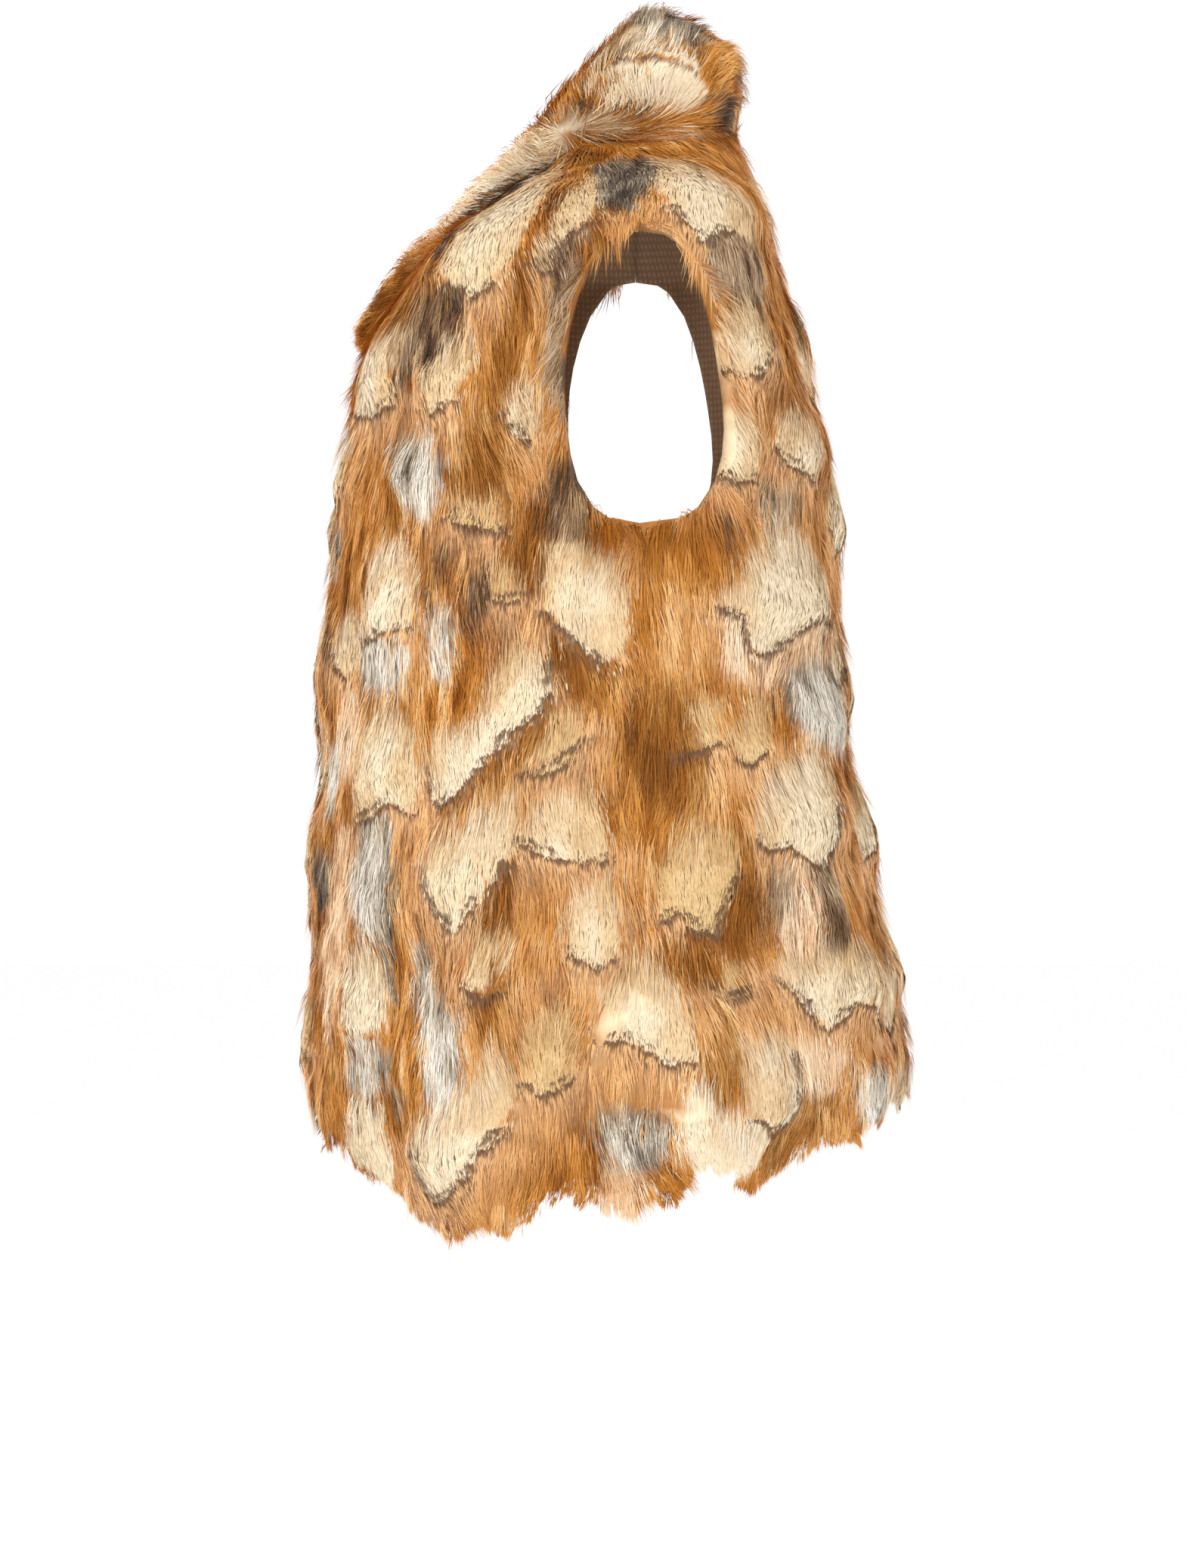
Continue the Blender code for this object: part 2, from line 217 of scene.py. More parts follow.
def places(mesh):
    found = np.empty(len(mesh.vertices) * 3, np.float32)
    mesh.vertices.foreach_get("co", found)
    return found.reshape(-1, 3).astype(float)


def put(mesh, points):
    mesh.vertices.foreach_set("co", np.asarray(points, np.float32).ravel())
    mesh.update()


def only(piece):
    """Makes a piece the one that is selected and worked on."""
    bpy.ops.object.select_all(action="DESELECT")
    piece.select_set(True)
    bpy.context.view_layer.objects.active = piece


def merged_copy(name, node):
    """A new piece with a solid's shape, its loose triangles merged into one skin of quads."""
    piece = bpy.data.objects.new(name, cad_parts[node].data.copy())
    bpy.context.scene.collection.objects.link(piece)
    piece.data.materials.clear()
    only(piece)
    bpy.ops.object.mode_set(mode="EDIT")
    bpy.ops.mesh.select_mode(type="FACE")
    bpy.ops.mesh.select_all(action="SELECT")
    bpy.ops.mesh.remove_doubles(threshold=1e-5)
    bpy.ops.mesh.tris_convert_to_quads()
    bpy.ops.mesh.customdata_custom_splitnormals_clear()
    bpy.ops.object.mode_set(mode="OBJECT")
    for layer in list(piece.data.uv_layers):
        piece.data.uv_layers.remove(layer)
    return piece


def kept_faces(piece, wanted):
    """Deletes the faces that a test of middle and normal doesn't pick."""
    only(piece)
    bpy.ops.object.mode_set(mode="EDIT")
    bpy.ops.mesh.select_mode(type="FACE")
    bpy.ops.mesh.select_all(action="DESELECT")
    shape = bmesh.from_edit_mesh(piece.data)
    for face in shape.faces:
        face.select = not wanted(np.array(face.calc_center_median()), np.array(face.normal))
    bmesh.update_edit_mesh(piece.data)
    bpy.ops.mesh.delete(type="FACE")
    bpy.ops.object.mode_set(mode="OBJECT")


def facing(panel, place, normal):
    """1 on a panel's outside, -1 on its inside and 0 on its rim."""
    way = unit(place - (0, panel.middle_y, min(place[2], panel.middle_top))) @ normal
    return int(way > panel.facing) - int(way < -panel.facing)


def finish_with(piece, kind, **settings):
    """Adds a modifier and applies it."""
    only(piece)
    modifier = piece.modifiers.new(kind.lower(), kind)
    for name, value in settings.items():
        setattr(modifier, name, value)
    bpy.ops.object.modifier_apply(modifier=modifier.name)


def fringe(points):
    """The height where hair ends at each point's angle round."""
    around = around_of(points)
    around = np.where(around < 0, np.abs(turned(RIGHT_ROUND - around)), around)
    return np.interp(around, *np.array(FRINGE, float).T) * MM


def lifted_hem(points, hem):
    """Points moved up near the hem, so that hair hangs below the cloth."""
    hem = hem[np.argsort(around_of(hem))]
    level = np.interp(around_of(points), around_of(hem), hem[:, 2], period=360)
    near = 1 - ease((points[:, 2] - level) / HEM_EASE)
    rise = np.maximum(fringe(points) - level, 0) + HAIR_PAST_CLOTH
    return points + np.outer(near * rise, (0, 0, 1))


def chart_map(mesh):
    """A UV map in metres, round the wearer and up, for a pattern that follows the cloth."""
    layer = mesh.uv_layers.new(name="Chart")
    corner = np.empty(len(mesh.loops), np.int32)
    mesh.loops.foreach_get("vertex_index", corner)
    points = places(mesh)
    chart = np.stack([np.radians(turned(around_of(points) - 180)) * BODY_ROUND, points[:, 2]], 1)
    layer.data.foreach_set("uv", chart[corner].astype(np.float32).ravel())


knit, dye, shader = new_finish("knitted_backing")
chart = dye.node("ShaderNodeUVMap", {}, uv_map="Chart")
wales = dye.node("ShaderNodeTexWave", {"Vector": chart, "Scale": WAVE_LONG / LOOP_WIDE, "Distortion": 0.6})
rows = dye.node(
    "ShaderNodeTexWave",
    {"Vector": chart, "Scale": WAVE_LONG / LOOP_HIGH, "Distortion": 0.8},
    bands_direction="Y",
)
fuzz = dye.node("ShaderNodeTexNoise", {"Vector": chart, "Scale": 160.0, "Detail": 4.0})
loops = wales * rows
feed((loops * 0.6 + fuzz * 0.5).mixed(KNIT_DEEP, KNIT_PALE), shader, "Base Color")
bump = dye.node("ShaderNodeBump", {"Height": loops, "Strength": 0.5, "Distance": 0.0006})
feed(bump, shader, "Normal")
feed(0.95 - loops * 0.15, shader, "Roughness")

wool, dye, shader = new_finish("underwool")
chart = dye.node("ShaderNodeUVMap", {}, uv_map="Chart")
stretch = dye.node("ShaderNodeVectorMath", {0: chart, 1: (900.0, 70.0, 1.0)}, operation="MULTIPLY")
streak = dye.node("ShaderNodeTexNoise", {"Vector": stretch, "Scale": 1.0, "Detail": 3.0})
tone = dye.node("ShaderNodeAttribute", {}, attribute_name="tone")
feed(tone.shaded(streak, 0.5), shader, "Base Color")
bump = dye.node("ShaderNodeBump", {"Height": streak, "Strength": 0.6, "Distance": 0.0015})
feed(bump, shader, "Normal")
feed(0.85 - streak * 0.2, shader, "Roughness")


def points_of(mesh, side, wanted):
    """Which points lie on a panel's outside, inside or rim."""
    found = np.zeros(len(mesh.vertices), bool)
    for face, way in zip(mesh.polygons, side):
        if way == wanted:
            found[list(face.vertices)] = True
    return found


def rim_corners(mesh, side):
    """Which points are corners of a panel, where its rim turns sharply."""
    points = places(mesh)
    meets, ends = {}, {}
    for face, way in zip(mesh.polygons, side):
        for edge in face.edge_keys:
            meets.setdefault(edge, set()).add(way)
    for (a, b), ways in meets.items():
        if 0 in ways and len(ways) == 2:
            ends.setdefault(a, []).append(b)
            ends.setdefault(b, []).append(a)
    found = np.zeros(len(points))
    for point, (one, other) in ends.items():
        found[point] = unit(points[one] - points[point]) @ unit(points[other] - points[point]) > CORNER
    return found


def rim_ways(mesh, side):
    """The way out of a panel at each point of its rim, and nothing elsewhere."""
    ways = np.zeros((len(mesh.vertices), 3))
    for face, way in zip(mesh.polygons, side):
        if way == 0:
            ways[list(face.vertices)] += face.normal
    return unit(ways)


def fur_cloth(panel):
    """A panel of fur cloth: its solid's shape, drawn in under the hair and short of the hem."""
    piece = merged_copy("cloth_" + panel.name, panel.name)
    mesh = piece.data
    points = places(mesh)
    side = [facing(panel, np.array(f.center), np.array(f.normal)) for f in mesh.polygons]
    back = BVHTree.FromPolygons(
        points.tolist(), [list(f.vertices) for f, way in zip(mesh.polygons, side) if way < 0]
    )
    rim = points_of(mesh, side, 0)
    hem = points[(points[:, 2] < HEM_BELOW) & rim]
    for i in np.flatnonzero(points_of(mesh, side, 1)):
        met = np.array(back.find_nearest(points[i])[0])
        pile = points[i] - met
        high = np.linalg.norm(pile)
        points[i] = met + pile * max(WOOL_LEAST, (high - WOOL_BELOW_TIPS) / high)
    points += SEAM_CLOSES * rim_ways(mesh, side)
    put(mesh, lifted_hem(points, hem))
    crease = mesh.attributes.new("crease_edge", "FLOAT", "EDGE")
    ends = np.array([e.vertices[:] for e in mesh.edges])
    crease.data.foreach_set("value", rim[ends].all(1).astype(np.float32))
    crease = mesh.attributes.new("crease_vert", "FLOAT", "POINT")
    crease.data.foreach_set("value", rim_corners(mesh, side).astype(np.float32))
    mesh.materials.append(knit)
    mesh.materials.append(wool)
    mesh.polygons.foreach_set("material_index", [0 if way < 0 else 1 for way in side])
    finish_with(piece, "SUBSURF", levels=1, render_levels=1)
    chart_map(piece.data)
    piece.data.shade_smooth()
    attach(piece, "root")
    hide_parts(panel.name)
    return piece


cloths = {panel.name: fur_cloth(panel) for panel in PANELS}


# Fur of the fronts and the back: short plush cream plates between long ginger hair, as if pieced
# from small pelts. Hair is tufted through the ground cloth and lies down over the body.
Coat = namedtuple("Coat", "length vary depth clump wide lift density")
COATS = {
    "ginger": Coat(26, 0.22, 2.2, 0.40, 0.58, 1.2, 0.75),
    "rust": Coat(27, 0.22, 2.4, 0.45, 0.58, 1.2, 0.75),
    "cream": Coat(12, 0.16, 1.4, 0.06, 0.95, 0.12, 1.00),
    "tan": Coat(13, 0.18, 1.4, 0.08, 0.90, 0.12, 0.95),
    "peach": Coat(24, 0.22, 2.0, 0.30, 0.60, 1.0, 0.80),
    "grey": Coat(20, 0.20, 2.0, 0.35, 0.58, 0.8, 0.80),
    "dusky": Coat(20, 0.22, 2.2, 0.40, 0.58, 0.9, 0.80),
    "umber": Coat(20, 0.22, 2.2, 0.45, 0.58, 1.1, 0.80),
    "taupe": Coat(22, 0.22, 2.2, 0.40, 0.58, 0.9, 0.80),
    "line": Coat(8, 0.25, 2.0, 0.20, 0.62, 0.3, 1.00),
    "pale": Coat(22, 0.24, 2.0, 0.35, 0.60, 1.0, 0.85),
}
GINGER, RUST, CREAM, TAN, PEACH, GREY, DUSKY, UMBER, TAUPE, SHADE_LINE, PALE = range(len(COATS))
PLUSH = (CREAM, TAN)
STREAKY = (GREY, DUSKY, UMBER, TAUPE, PALE)


def linear(tone):
    """A colour written as six hex digits, in linear light."""
    part = np.array([int(tone[i:i + 2], 16) for i in (0, 2, 4)]) / 255
    return np.where(part < 0.04045, part / 12.92, ((part + 0.055) / 1.055) ** 2.4)


# Each coat's hair colours, from the darkest to the palest
TONES = {
    "ginger": ("7C430E", "A6601A", "C7812F", "DFA258", "F0C68C"),
    "rust": ("663C14", "8E541C", "AA6A28", "BE8442", "D4A86C"),
    "cream": ("DFC291", "E9D2A9", "EFDCBC", "F2E2C6", "F5E9D4"),
    "tan": ("CDA468", "D8B478", "E2C28E", "EACFA4", "F0DCBA"),
    "peach": ("DBA672", "EDC294", "F5D4AC", "F9E0C0", "FCEDD6"),
    "grey": ("5C4D3E", "AA9B86", "DED2BE", "ECE3D3", "F4EDE0"),
    "dusky": ("48392E", "6B5C4D", "8D7D6A", "B3A28A", "DACBB2"),
    "umber": ("3C291C", "583E2C", "775840", "9A7856", "C8A67C"),
    "taupe": ("64492F", "8E6E50", "B29272", "CFB492", "E4D0B2"),
    # The line coat is dark brown hair with a painted shadow in it, for the groove along the collar's seam
    "line": ("3E2A1E", "50382A", "624836", "7C5E46", "96765A"),
    "pale": ("B08A5E", "DCC096", "ECD8B8", "F2E4CC", "F6EDDD"),
}
PALETTE = np.array([[linear(tone) for tone in TONES[name]] for name in COATS])
PLUSH_TOP = linear("DDB67E")
BLUSH = linear("F5C996")
# Dark brown of hair roots, also used as the painted shadow of the dark lines and under the plates' feet
ROOT_AND_SHADE = (*linear("76563E"), 1)

# The pelts of the left half, charted corner by corner, each as degrees round the wearer and
# millimetres up. A patch has soft edges all round. A plate has a foot, from front to back, where its hair
# ends and dark roots with painted shade show below, and then soft edges. The right half's are a little
# further down and round.
Pelt = namedtuple("Pelt", "coat foot edge")
BODY_PATCHES = {
    # A line of dark hair along the collar's seam, partly a painted shadow of the seam's groove
    SHADE_LINE: (
        (89, 11, 78, 6, 67, 1, 60, -7, 54, -15, 50, -36, 50, -74, 53.5, -74, 54, -56, 56, -38, 62, -19,
         70, -7, 79, -1, 89, 4),
    ),
    CREAM: (
        (41, -545, 44, -552, 48, -548, 50.5, -538, 50, -518, 47, -498, 42, -500, 39.5, -520),
        (41, -626, 45.5, -640, 50, -656, 51, -630, 50.5, -604, 45, -596, 41, -604),
        (103, -628, 107, -634, 111, -632, 114, -616, 113, -600, 109, -604, 107, -586, 104, -583, 103, -600),
    ),
    RUST: (
        (80, -10, 80, -47, 75, -76, 72, -109, 66, -158, 62, -182, 62, -216, 69, -227, 74, -217, 73, -180,
         76, -135, 79, -80, 83, -37),
        (72, -217, 80, -217, 81, -247, 80, -281, 76, -276, 72, -247),
        (80, -286, 87, -306, 90, -318, 94, -318, 92, -345, 85, -344, 83, -322),
        (82, -344, 85, -360, 74, -397, 68, -417, 64, -433, 62, -414, 72, -384),
        (74, -445, 78, -434, 77, -476, 75, -486, 78, -520, 73, -556, 70, -535, 72, -492),
        (97, -330, 106, -330, 109, -380, 107, -413, 98, -413, 94, -372),
        (113, -423, 116, -432, 115, -480, 109, -523, 103, -518, 94, -495, 108, -486),
        (109, -532, 111, -548, 110, -585, 107, -604, 105, -585, 106, -552),
        (125, -577, 129, -597, 120, -626, 113, -634, 113, -618),
        (88, -46, 91, -37, 92, -60, 88, -92, 86, -140, 84, -140, 84.5, -100),
        (42, -80, 52, -74, 55, -80, 49, -86, 46, -104, 40, -104),
        (2, -590, 8, -586, 8, -640, 3, -650),
        (171, -190, 179, -186, 179, -240, 173, -236),
        (150, -460, 158, -456, 160, -492, 152, -500),
    ),
    UMBER: (
        (49, -84, 56, -78, 64, -84, 62, -106, 57, -126, 51, -138, 47, -120),
        (84, -56, 87, -52, 86, -72, 83, -96, 81, -98, 82, -76),
        (81.5, -122, 84, -120, 85, -140, 84, -160, 82.5, -145),
        (44, -176, 46, -176, 45, -190, 48, -205, 47, -212, 45, -196),
        (82, -191, 87, -194, 89, -216, 89, -239, 80.5, -241, 80, -224, 81, -206),
        (58, -246, 62, -246, 60, -262, 57.5, -282, 55.5, -282, 57, -262),
        (66, -262, 69.5, -258, 70, -285, 67, -306, 64, -304, 66.5, -282),
        (110.5, -224, 113, -224, 115, -245, 113, -248, 111, -238),
        (20, -286, 23, -286, 23, -310, 20, -318),
        (149, -96, 155, -92, 154, -116, 148, -120),
    ),
    PEACH: (
        (30, -330, 38, -335, 39, -380, 33, -395, 29, -360),
        (32, -425, 39, -420, 40, -480, 38, -540, 33, -560, 29, -520, 30, -470),
        (120, -440, 127, -444, 127, -478, 126, -500, 120, -502, 118, -488, 121, -470),
        (121, -548, 128, -554, 131, -566, 128, -586, 123, -592, 121, -570),
        (90, -634, 98, -634, 98, -668, 93, -672, 90, -655),
        (111, -288, 116, -290, 117.5, -313, 124, -309, 131, -297, 138, -290, 145, -296, 146, -330,
         136, -320, 126, -326, 120, -336, 113, -322),
        (112, -292, 118, -317, 124, -311, 131, -299, 140, -292, 138, -304, 130, -310, 124, -324, 118, -336,
         112, -324),
    ),
    DUSKY: (
        (90, -2, 95, 3, 101, 1, 104, -6, 102, -15, 100, -24, 98, -34, 90, -36, 89, -20),
        (50, -448, 54, -452, 52, -475, 53, -505, 55, -532, 51, -532, 49.5, -500, 49.5, -470),
        (22, -440, 30, -438, 31, -470, 25, -480, 22, -466),
        (64, -552, 68, -550, 69.5, -575, 66, -582, 64.5, -570),
        (50, -562, 54, -560, 54.5, -572, 52, -585, 50, -582),
        (51, -588, 58, -585, 58, -598, 53, -603),
        (125, -328, 129, -326, 132, -345, 136, -366, 132, -366, 127.5, -350),
        (90, -592, 99, -594, 101, -606, 98, -614, 91, -612),
        (5, -472, 10, -470, 11, -494, 6, -496),
        (168, -540, 176, -538, 176, -556, 168, -560),
    ),
    TAUPE: (
        (86, -54, 90, -46, 88, -75, 84, -110, 84.5, -165, 80.5, -160, 80, -110, 82, -78),
        (47, -108, 56, -106, 58, -116, 50, -138, 44, -150, 44, -125),
        (110, -56, 120, -48, 127, -60, 129, -85, 122, -96, 116, -90, 112, -98, 110.5, -80),
        (120, -205, 132, -206, 134, -226, 124, -236, 119, -225),
        (118, -448, 124, -448, 125, -466, 120, -484, 117, -478),
        (127, -448, 132, -447, 135, -470, 133, -497, 128, -507, 127, -480),
        (2, -215, 6, -218, 7, -250, 2, -262),
        (163, -20, 176, -12, 178, -44, 168, -52),
        (150, -352, 158, -350, 158, -378, 151, -384),
    ),
    GREY: (
        (50, -175, 56.5, -174, 60, -197, 58, -214, 55, -234, 51.5, -220, 47, -209, 44, -184),
        (58, -285, 62, -285, 64, -320, 62, -335, 58, -320),
        (40, -304, 52, -305, 54, -322, 50, -336, 42, -333, 36, -328),
        (42, -420, 50, -415, 52, -440, 50, -470, 51, -492, 46, -488, 41, -470, 39, -445),
        (24, -368, 31, -366, 31, -400, 27, -422, 23, -400),
        (58, -495, 62, -495, 64, -518, 69, -540, 70, -562, 69, -586, 65, -597, 62, -580, 62, -556,
         60, -528),
        (41, -556, 49.5, -555, 50, -580, 46, -593, 41, -584),
        (122, -322, 127, -315, 134, -309, 144, -314, 152, -330, 154, -352, 150, -376, 140, -374, 131, -366,
         125, -350),
        (90, -604, 98, -606, 102, -604, 101, -618, 98, -630, 92, -630, 89, -616),
        (131, -582, 133, -572, 138, -570, 141.5, -578, 146, -594, 142, -602, 136.5, -609, 132, -598),
        (14, -228, 20, -226, 22, -252, 16, -268, 12, -250),
        (4, -360, 10, -356, 10, -388, 5, -396),
        (164, -138, 174, -132, 176, -160, 168, -172, 163, -158),
        (169, -398, 178, -394, 179, -424, 172, -438),
    ),
}
BODY_PLATES = {
    CREAM: (
        ((61, -80, 65, -87, 70, -79),
         (55, -70, 55.5, -54, 58, -40, 63, -22, 70, -10, 79, -6, 79, -25, 75, -58)),
        ((79, -70, 81, -75, 85, -51, 89, -42), (80, -58, 83, -40, 85, -25, 90, -10, 91, -28)),
        ((20, -154, 33, -158, 43, -149), (15, -134, 24, -116, 36, -110, 47, -106, 47, -114, 43, -128)),
        ((52, -155, 56, -159, 62, -151), (54, -140, 57, -125, 61, -116, 66, -111, 67, -131)),
        ((72, -163, 75, -173, 77.5, -178), (73, -152, 76, -143, 79.5, -150, 79, -166)),
        ((39.5, -303, 45, -297, 53.5, -293),
         (39.5, -280, 41, -258, 43, -243, 50, -237, 54, -258, 54, -280)),
        ((81, -284, 84, -297, 88.5, -311, 91, -317),
         (80.7, -262, 82, -246, 88, -241, 93, -252, 96, -285, 94, -313)),
        ((24, -307, 26, -318, 31, -324), (26, -291, 31, -284, 37, -288, 38, -310, 35, -323)),
        ((59.2, -383, 60.3, -399, 62.5, -405, 66, -397, 70, -382, 76, -360, 80, -347, 82, -335, 81.7, -317),
         (60.5, -364, 67, -358, 71, -342, 72, -324, 77, -308)),
        ((40, -415, 45, -409, 49.5, -403, 55.5, -411),
         (38.5, -392, 39, -368, 42, -352, 50, -346, 55, -360, 57, -392)),
        ((60, -446, 61, -460, 64.5, -475, 67.5, -484, 70.5, -466, 76, -443),
         (61, -435, 66, -426, 72, -416, 77, -403, 77.5, -424)),
        ((78, -427, 81, -434, 86, -440, 91, -438), (80, -411, 84, -399, 91, -400)),
        ((70.2, -516, 72.5, -527, 76, -519), (70.5, -502, 72.5, -486, 75.5, -490, 76.5, -506)),
        ((59.5, -620, 60.3, -636, 63, -650, 66, -648, 70, -633, 76, -603),
         (61, -605, 67, -598, 71, -583, 75, -560, 79, -574)),
        ((104, -32, 107, -46, 111, -57, 113, -47, 118, -46),
         (102, -22, 105, -3, 113, 0, 120, -14, 125, -30, 128, -50, 122, -50)),
        ((113.5, -132, 117, -138, 121, -134, 124, -122),
         (113.5, -120, 115.5, -104, 117, -90, 122, -96, 126, -111)),
        ((112, -195, 114.5, -204, 118.5, -202), (111, -180, 114, -163, 118, -160, 120.5, -180)),
        ((125, -180, 127, -187, 131, -192, 140, -201),
         (124, -170, 126, -161, 133, -157, 140, -167, 143, -190)),
        ((110.5, -284, 115.5, -286, 117, -309, 119.5, -312, 124, -305, 131, -293, 138, -286, 144, -292),
         (112, -275, 115, -265, 118, -251, 122, -238, 128, -236, 136, -245, 141, -261)),
        ((116, -425, 118, -432, 122, -431, 127, -440, 130, -445, 133, -430, 135.5, -404),
         (116, -410, 118.5, -393, 124, -376, 132, -374, 137, -390)),
        ((117, -511, 121, -519, 124, -531, 128, -546, 130, -536, 133, -529, 138, -531, 146, -545),
         (119, -505, 124, -501, 130, -496, 138, -494, 145, -508, 150, -530)),
        ((86, -496, 90, -506, 93, -499), (85.5, -478, 87, -460, 92, -452, 94, -476)),
        ((90, -549, 94, -547, 96, -550, 98.5, -557, 100.5, -564, 103.5, -562),
         (90, -528, 95, -508, 99.5, -504, 102, -528, 104, -545)),
        ((112, -598, 115, -605, 118.5, -599, 120.5, -580, 120, -560),
         (110.7, -580, 111.5, -555, 115.5, -547, 119.5, -551)),
        ((6, -204, 12, -216, 21, -200), (7, -180, 14, -162, 23, -176)),
        ((3, -318, 8, -338, 14, -322, 18, -300), (4, -296, 9, -280, 17, -286)),
        ((12, -384, 17, -398, 22, -382), (13, -366, 18, -350, 22, -362)),
        ((2, -452, 8, -440, 15, -456, 19, -440), (3, -426, 9, -410, 18, -420)),
        ((4, -566, 10, -580, 18, -560, 24, -566), (5, -540, 12, -520, 23, -534)),
        ((9, -634, 16, -646, 27, -632), (10, -612, 18, -600, 27, -608)),
        ((141, -38, 148, -46, 158, -33), (140, -20, 146, -2, 156, 2, 162, -14)),
        ((158, -92, 164, -108, 172, -112, 178, -98), (157, -74, 164, -58, 176, -64)),
        ((144, -136, 150, -150, 157, -138), (145, -122, 151, -112, 158, -122)),
        ((150, -226, 157, -244, 164, -238, 170, -220), (151, -200, 158, -182, 168, -190)),
        ((147, -318, 152, -330, 158, -322), (148, -298, 154, -280, 160, -296)),
        ((160, -352, 168, -338, 176, -352, 179, -344), (161, -328, 170, -306, 179, -316)),
        ((149, -424, 154, -442, 163, -431, 168, -414), (151, -402, 160, -388, 168, -398)),
        ((163, -500, 170, -517, 179, -505), (162, -478, 170, -458, 178, -466)),
        ((151, -540, 158, -552, 164, -538), (152, -520, 158, -510, 164, -520)),
        ((153, -606, 160, -618, 170, -604, 178, -610), (154, -588, 162, -572, 176, -582)),
    ),
    TAN: (
        ((61.5, -222, 64, -228, 68.5, -231, 72.5, -236), (63, -214, 68, -214, 72, -203, 74, -214)),
        ((71, -276, 74, -278, 77.5, -274), (71.5, -262, 77, -260)),
        ((78, -386, 81, -385, 84, -380, 88.5, -361), (79.5, -371, 83, -357, 86.5, -350)),
        ((113, -376, 115, -380, 118, -371), (113.5, -362, 116, -344, 119.5, -348, 119, -362)),
        ((103, -378, 107, -374, 110, -366), (104, -350, 107, -339, 110.5, -348)),
        ((100, -474, 102, -470, 104.5, -478, 107.5, -484, 109, -463, 112, -448),
         (98, -455, 102, -433, 107, -421, 111.5, -432)),
        ((107, -513, 109, -522, 112.5, -518), (108, -502, 111, -505)),
        ((79, -574, 82, -582, 86, -573), (79, -556, 81, -538, 85, -534, 87, -556)),
        ((14, -500, 18, -508, 21, -498), (14, -484, 20, -482)),
        ((171, -262, 176, -270, 179, -262), (171, -246, 178, -240)),
    ),
}
RIGHT_DOWN = 24.0
BODY_LEVELS = (-700, 60)
DEGREE_WIDE = 3.3
PLUSH_SPREADS = 1.5
NEAR_PELT = 45.0
FAR = 99.0
CHART_STEP = 0.4

# Smooth random swells: how far they reach, how long they are and their seed
Swell = namedtuple("Swell", "reach size seed")
RAGGED = (Swell(1.4, 0.035, 4), Swell(1.2, 0.012, 5), Swell(0.8, 0.006, 6))
BODY_SWING = (Swell(13, 0.09, 11), Swell(7, 0.03, 12))


def pelts_of(patches, plates):
    """One list of pelts from the charts of patches and plates."""
    found = [Pelt(coat, (), edge) for coat, edges in patches.items() for edge in edges]
    return found + [Pelt(coat, *lines) for coat, rows in plates.items() for lines in rows]


def wander(points, size, seed):
    """A smooth random field, about -1 to 1, whose swells are as long as a size."""
    rng = np.random.default_rng(seed)
    ways = unit(rng.normal(size=(7, 3))) * rng.uniform(0.6, 1.5, (7, 1)) * 2 * math.pi / size
    return np.sin(points @ ways.T + rng.uniform(0, 2 * math.pi, 7)).sum(1) / 3


def swells(points, rows):
    """Swells of several sizes, added up."""
    return sum(row.reach * wander(points, row.size, row.seed) for row in rows)


def from_line(across, height, corners):
    """How far points lie from a line through corners, and how far below its nearest place."""
    gap = np.full(len(across), np.inf)
    below = np.zeros(len(across))
    for (a0, h0), (a1, h1) in zip(corners, corners[1:]):
        run, rise = a1 - a0, h1 - h0
        t = np.clip(((across - a0) * run + (height - h0) * rise) / (run * run + rise * rise), 0, 1)
        there = np.hypot(across - a0 - t * run, height - h0 - t * rise)
        nearer = there < gap
        below = np.where(nearer, h0 + t * rise - height, below)
        gap = np.where(nearer, there, gap)
    return gap, below


def within(across, height, corners):
    """Whether points lie inside a ring of corners."""
    inside = np.zeros(len(across), bool)
    for (a0, h0), (a1, h1) in zip(corners, corners[1:] + corners[:1]):
        if h0 != h1:
            crossing = a0 + (a1 - a0) * (height - h0) / (h1 - h0)
            inside ^= ((h0 > height) != (h1 > height)) & (across < crossing)
    return inside


def pelts_at(points, pelts, right_round, right_down):
    """The coat at each point, and how far it is from a soft edge, its own foot, past a foot and from any."""
    ragged = swells(points, RAGGED)
    coat = np.zeros(len(points), int)
    inside = np.full(len(points), -FAR)
    soft, above, under, foot_gap = (np.full(len(points), FAR) for _ in range(4))
    for side in (1, -1):
        around = turned(around_of(points) if side > 0 else right_round - around_of(points)) * DEGREE_WIDE
        height = points[:, 2] / MM + (side < 0) * right_down
        for pelt in pelts:
            foot, edge = (
                [(a * DEGREE_WIDE, h) for a, h in zip(line[::2], line[1::2])]
                for line in (pelt.foot, pelt.edge)
            )
            ring = edge + foot[::-1]
            low, high = np.min(ring, 0) - NEAR_PELT, np.max(ring, 0) + NEAR_PELT
            near = np.flatnonzero(
                (around > low[0]) & (around < high[0]) & (height > low[1]) & (height < high[1])
            )
            a, h, rough = around[near], height[near], ragged[near]
            gap, _ = from_line(a, h, ring + ring[:1])
            deep = np.where(within(a, h, ring), gap, -gap) + rough + PLUSH_SPREADS * (pelt.coat in PLUSH)
            better = (deep > 0) & (deep > inside[near])
            coat[near] = np.where(better, pelt.coat, coat[near])
            inside[near] = np.maximum(inside[near], deep)
            if foot:
                past, below = from_line(a, h, foot)
                outside = (deep <= 0) & (below > 0)
                under[near] = np.where(outside, np.minimum(under[near], past), under[near])
                from_foot = np.abs(np.where(outside, past, -past) + rough)
                foot_gap[near] = np.minimum(foot_gap[near], from_foot)
                sides, _ = from_line(a, h, foot[:1] + edge + foot[-1:])
                soft[near] = np.where(better, sides, soft[near])
                above[near] = np.where(better, past, above[near])
    return coat, soft, above, under, foot_gap


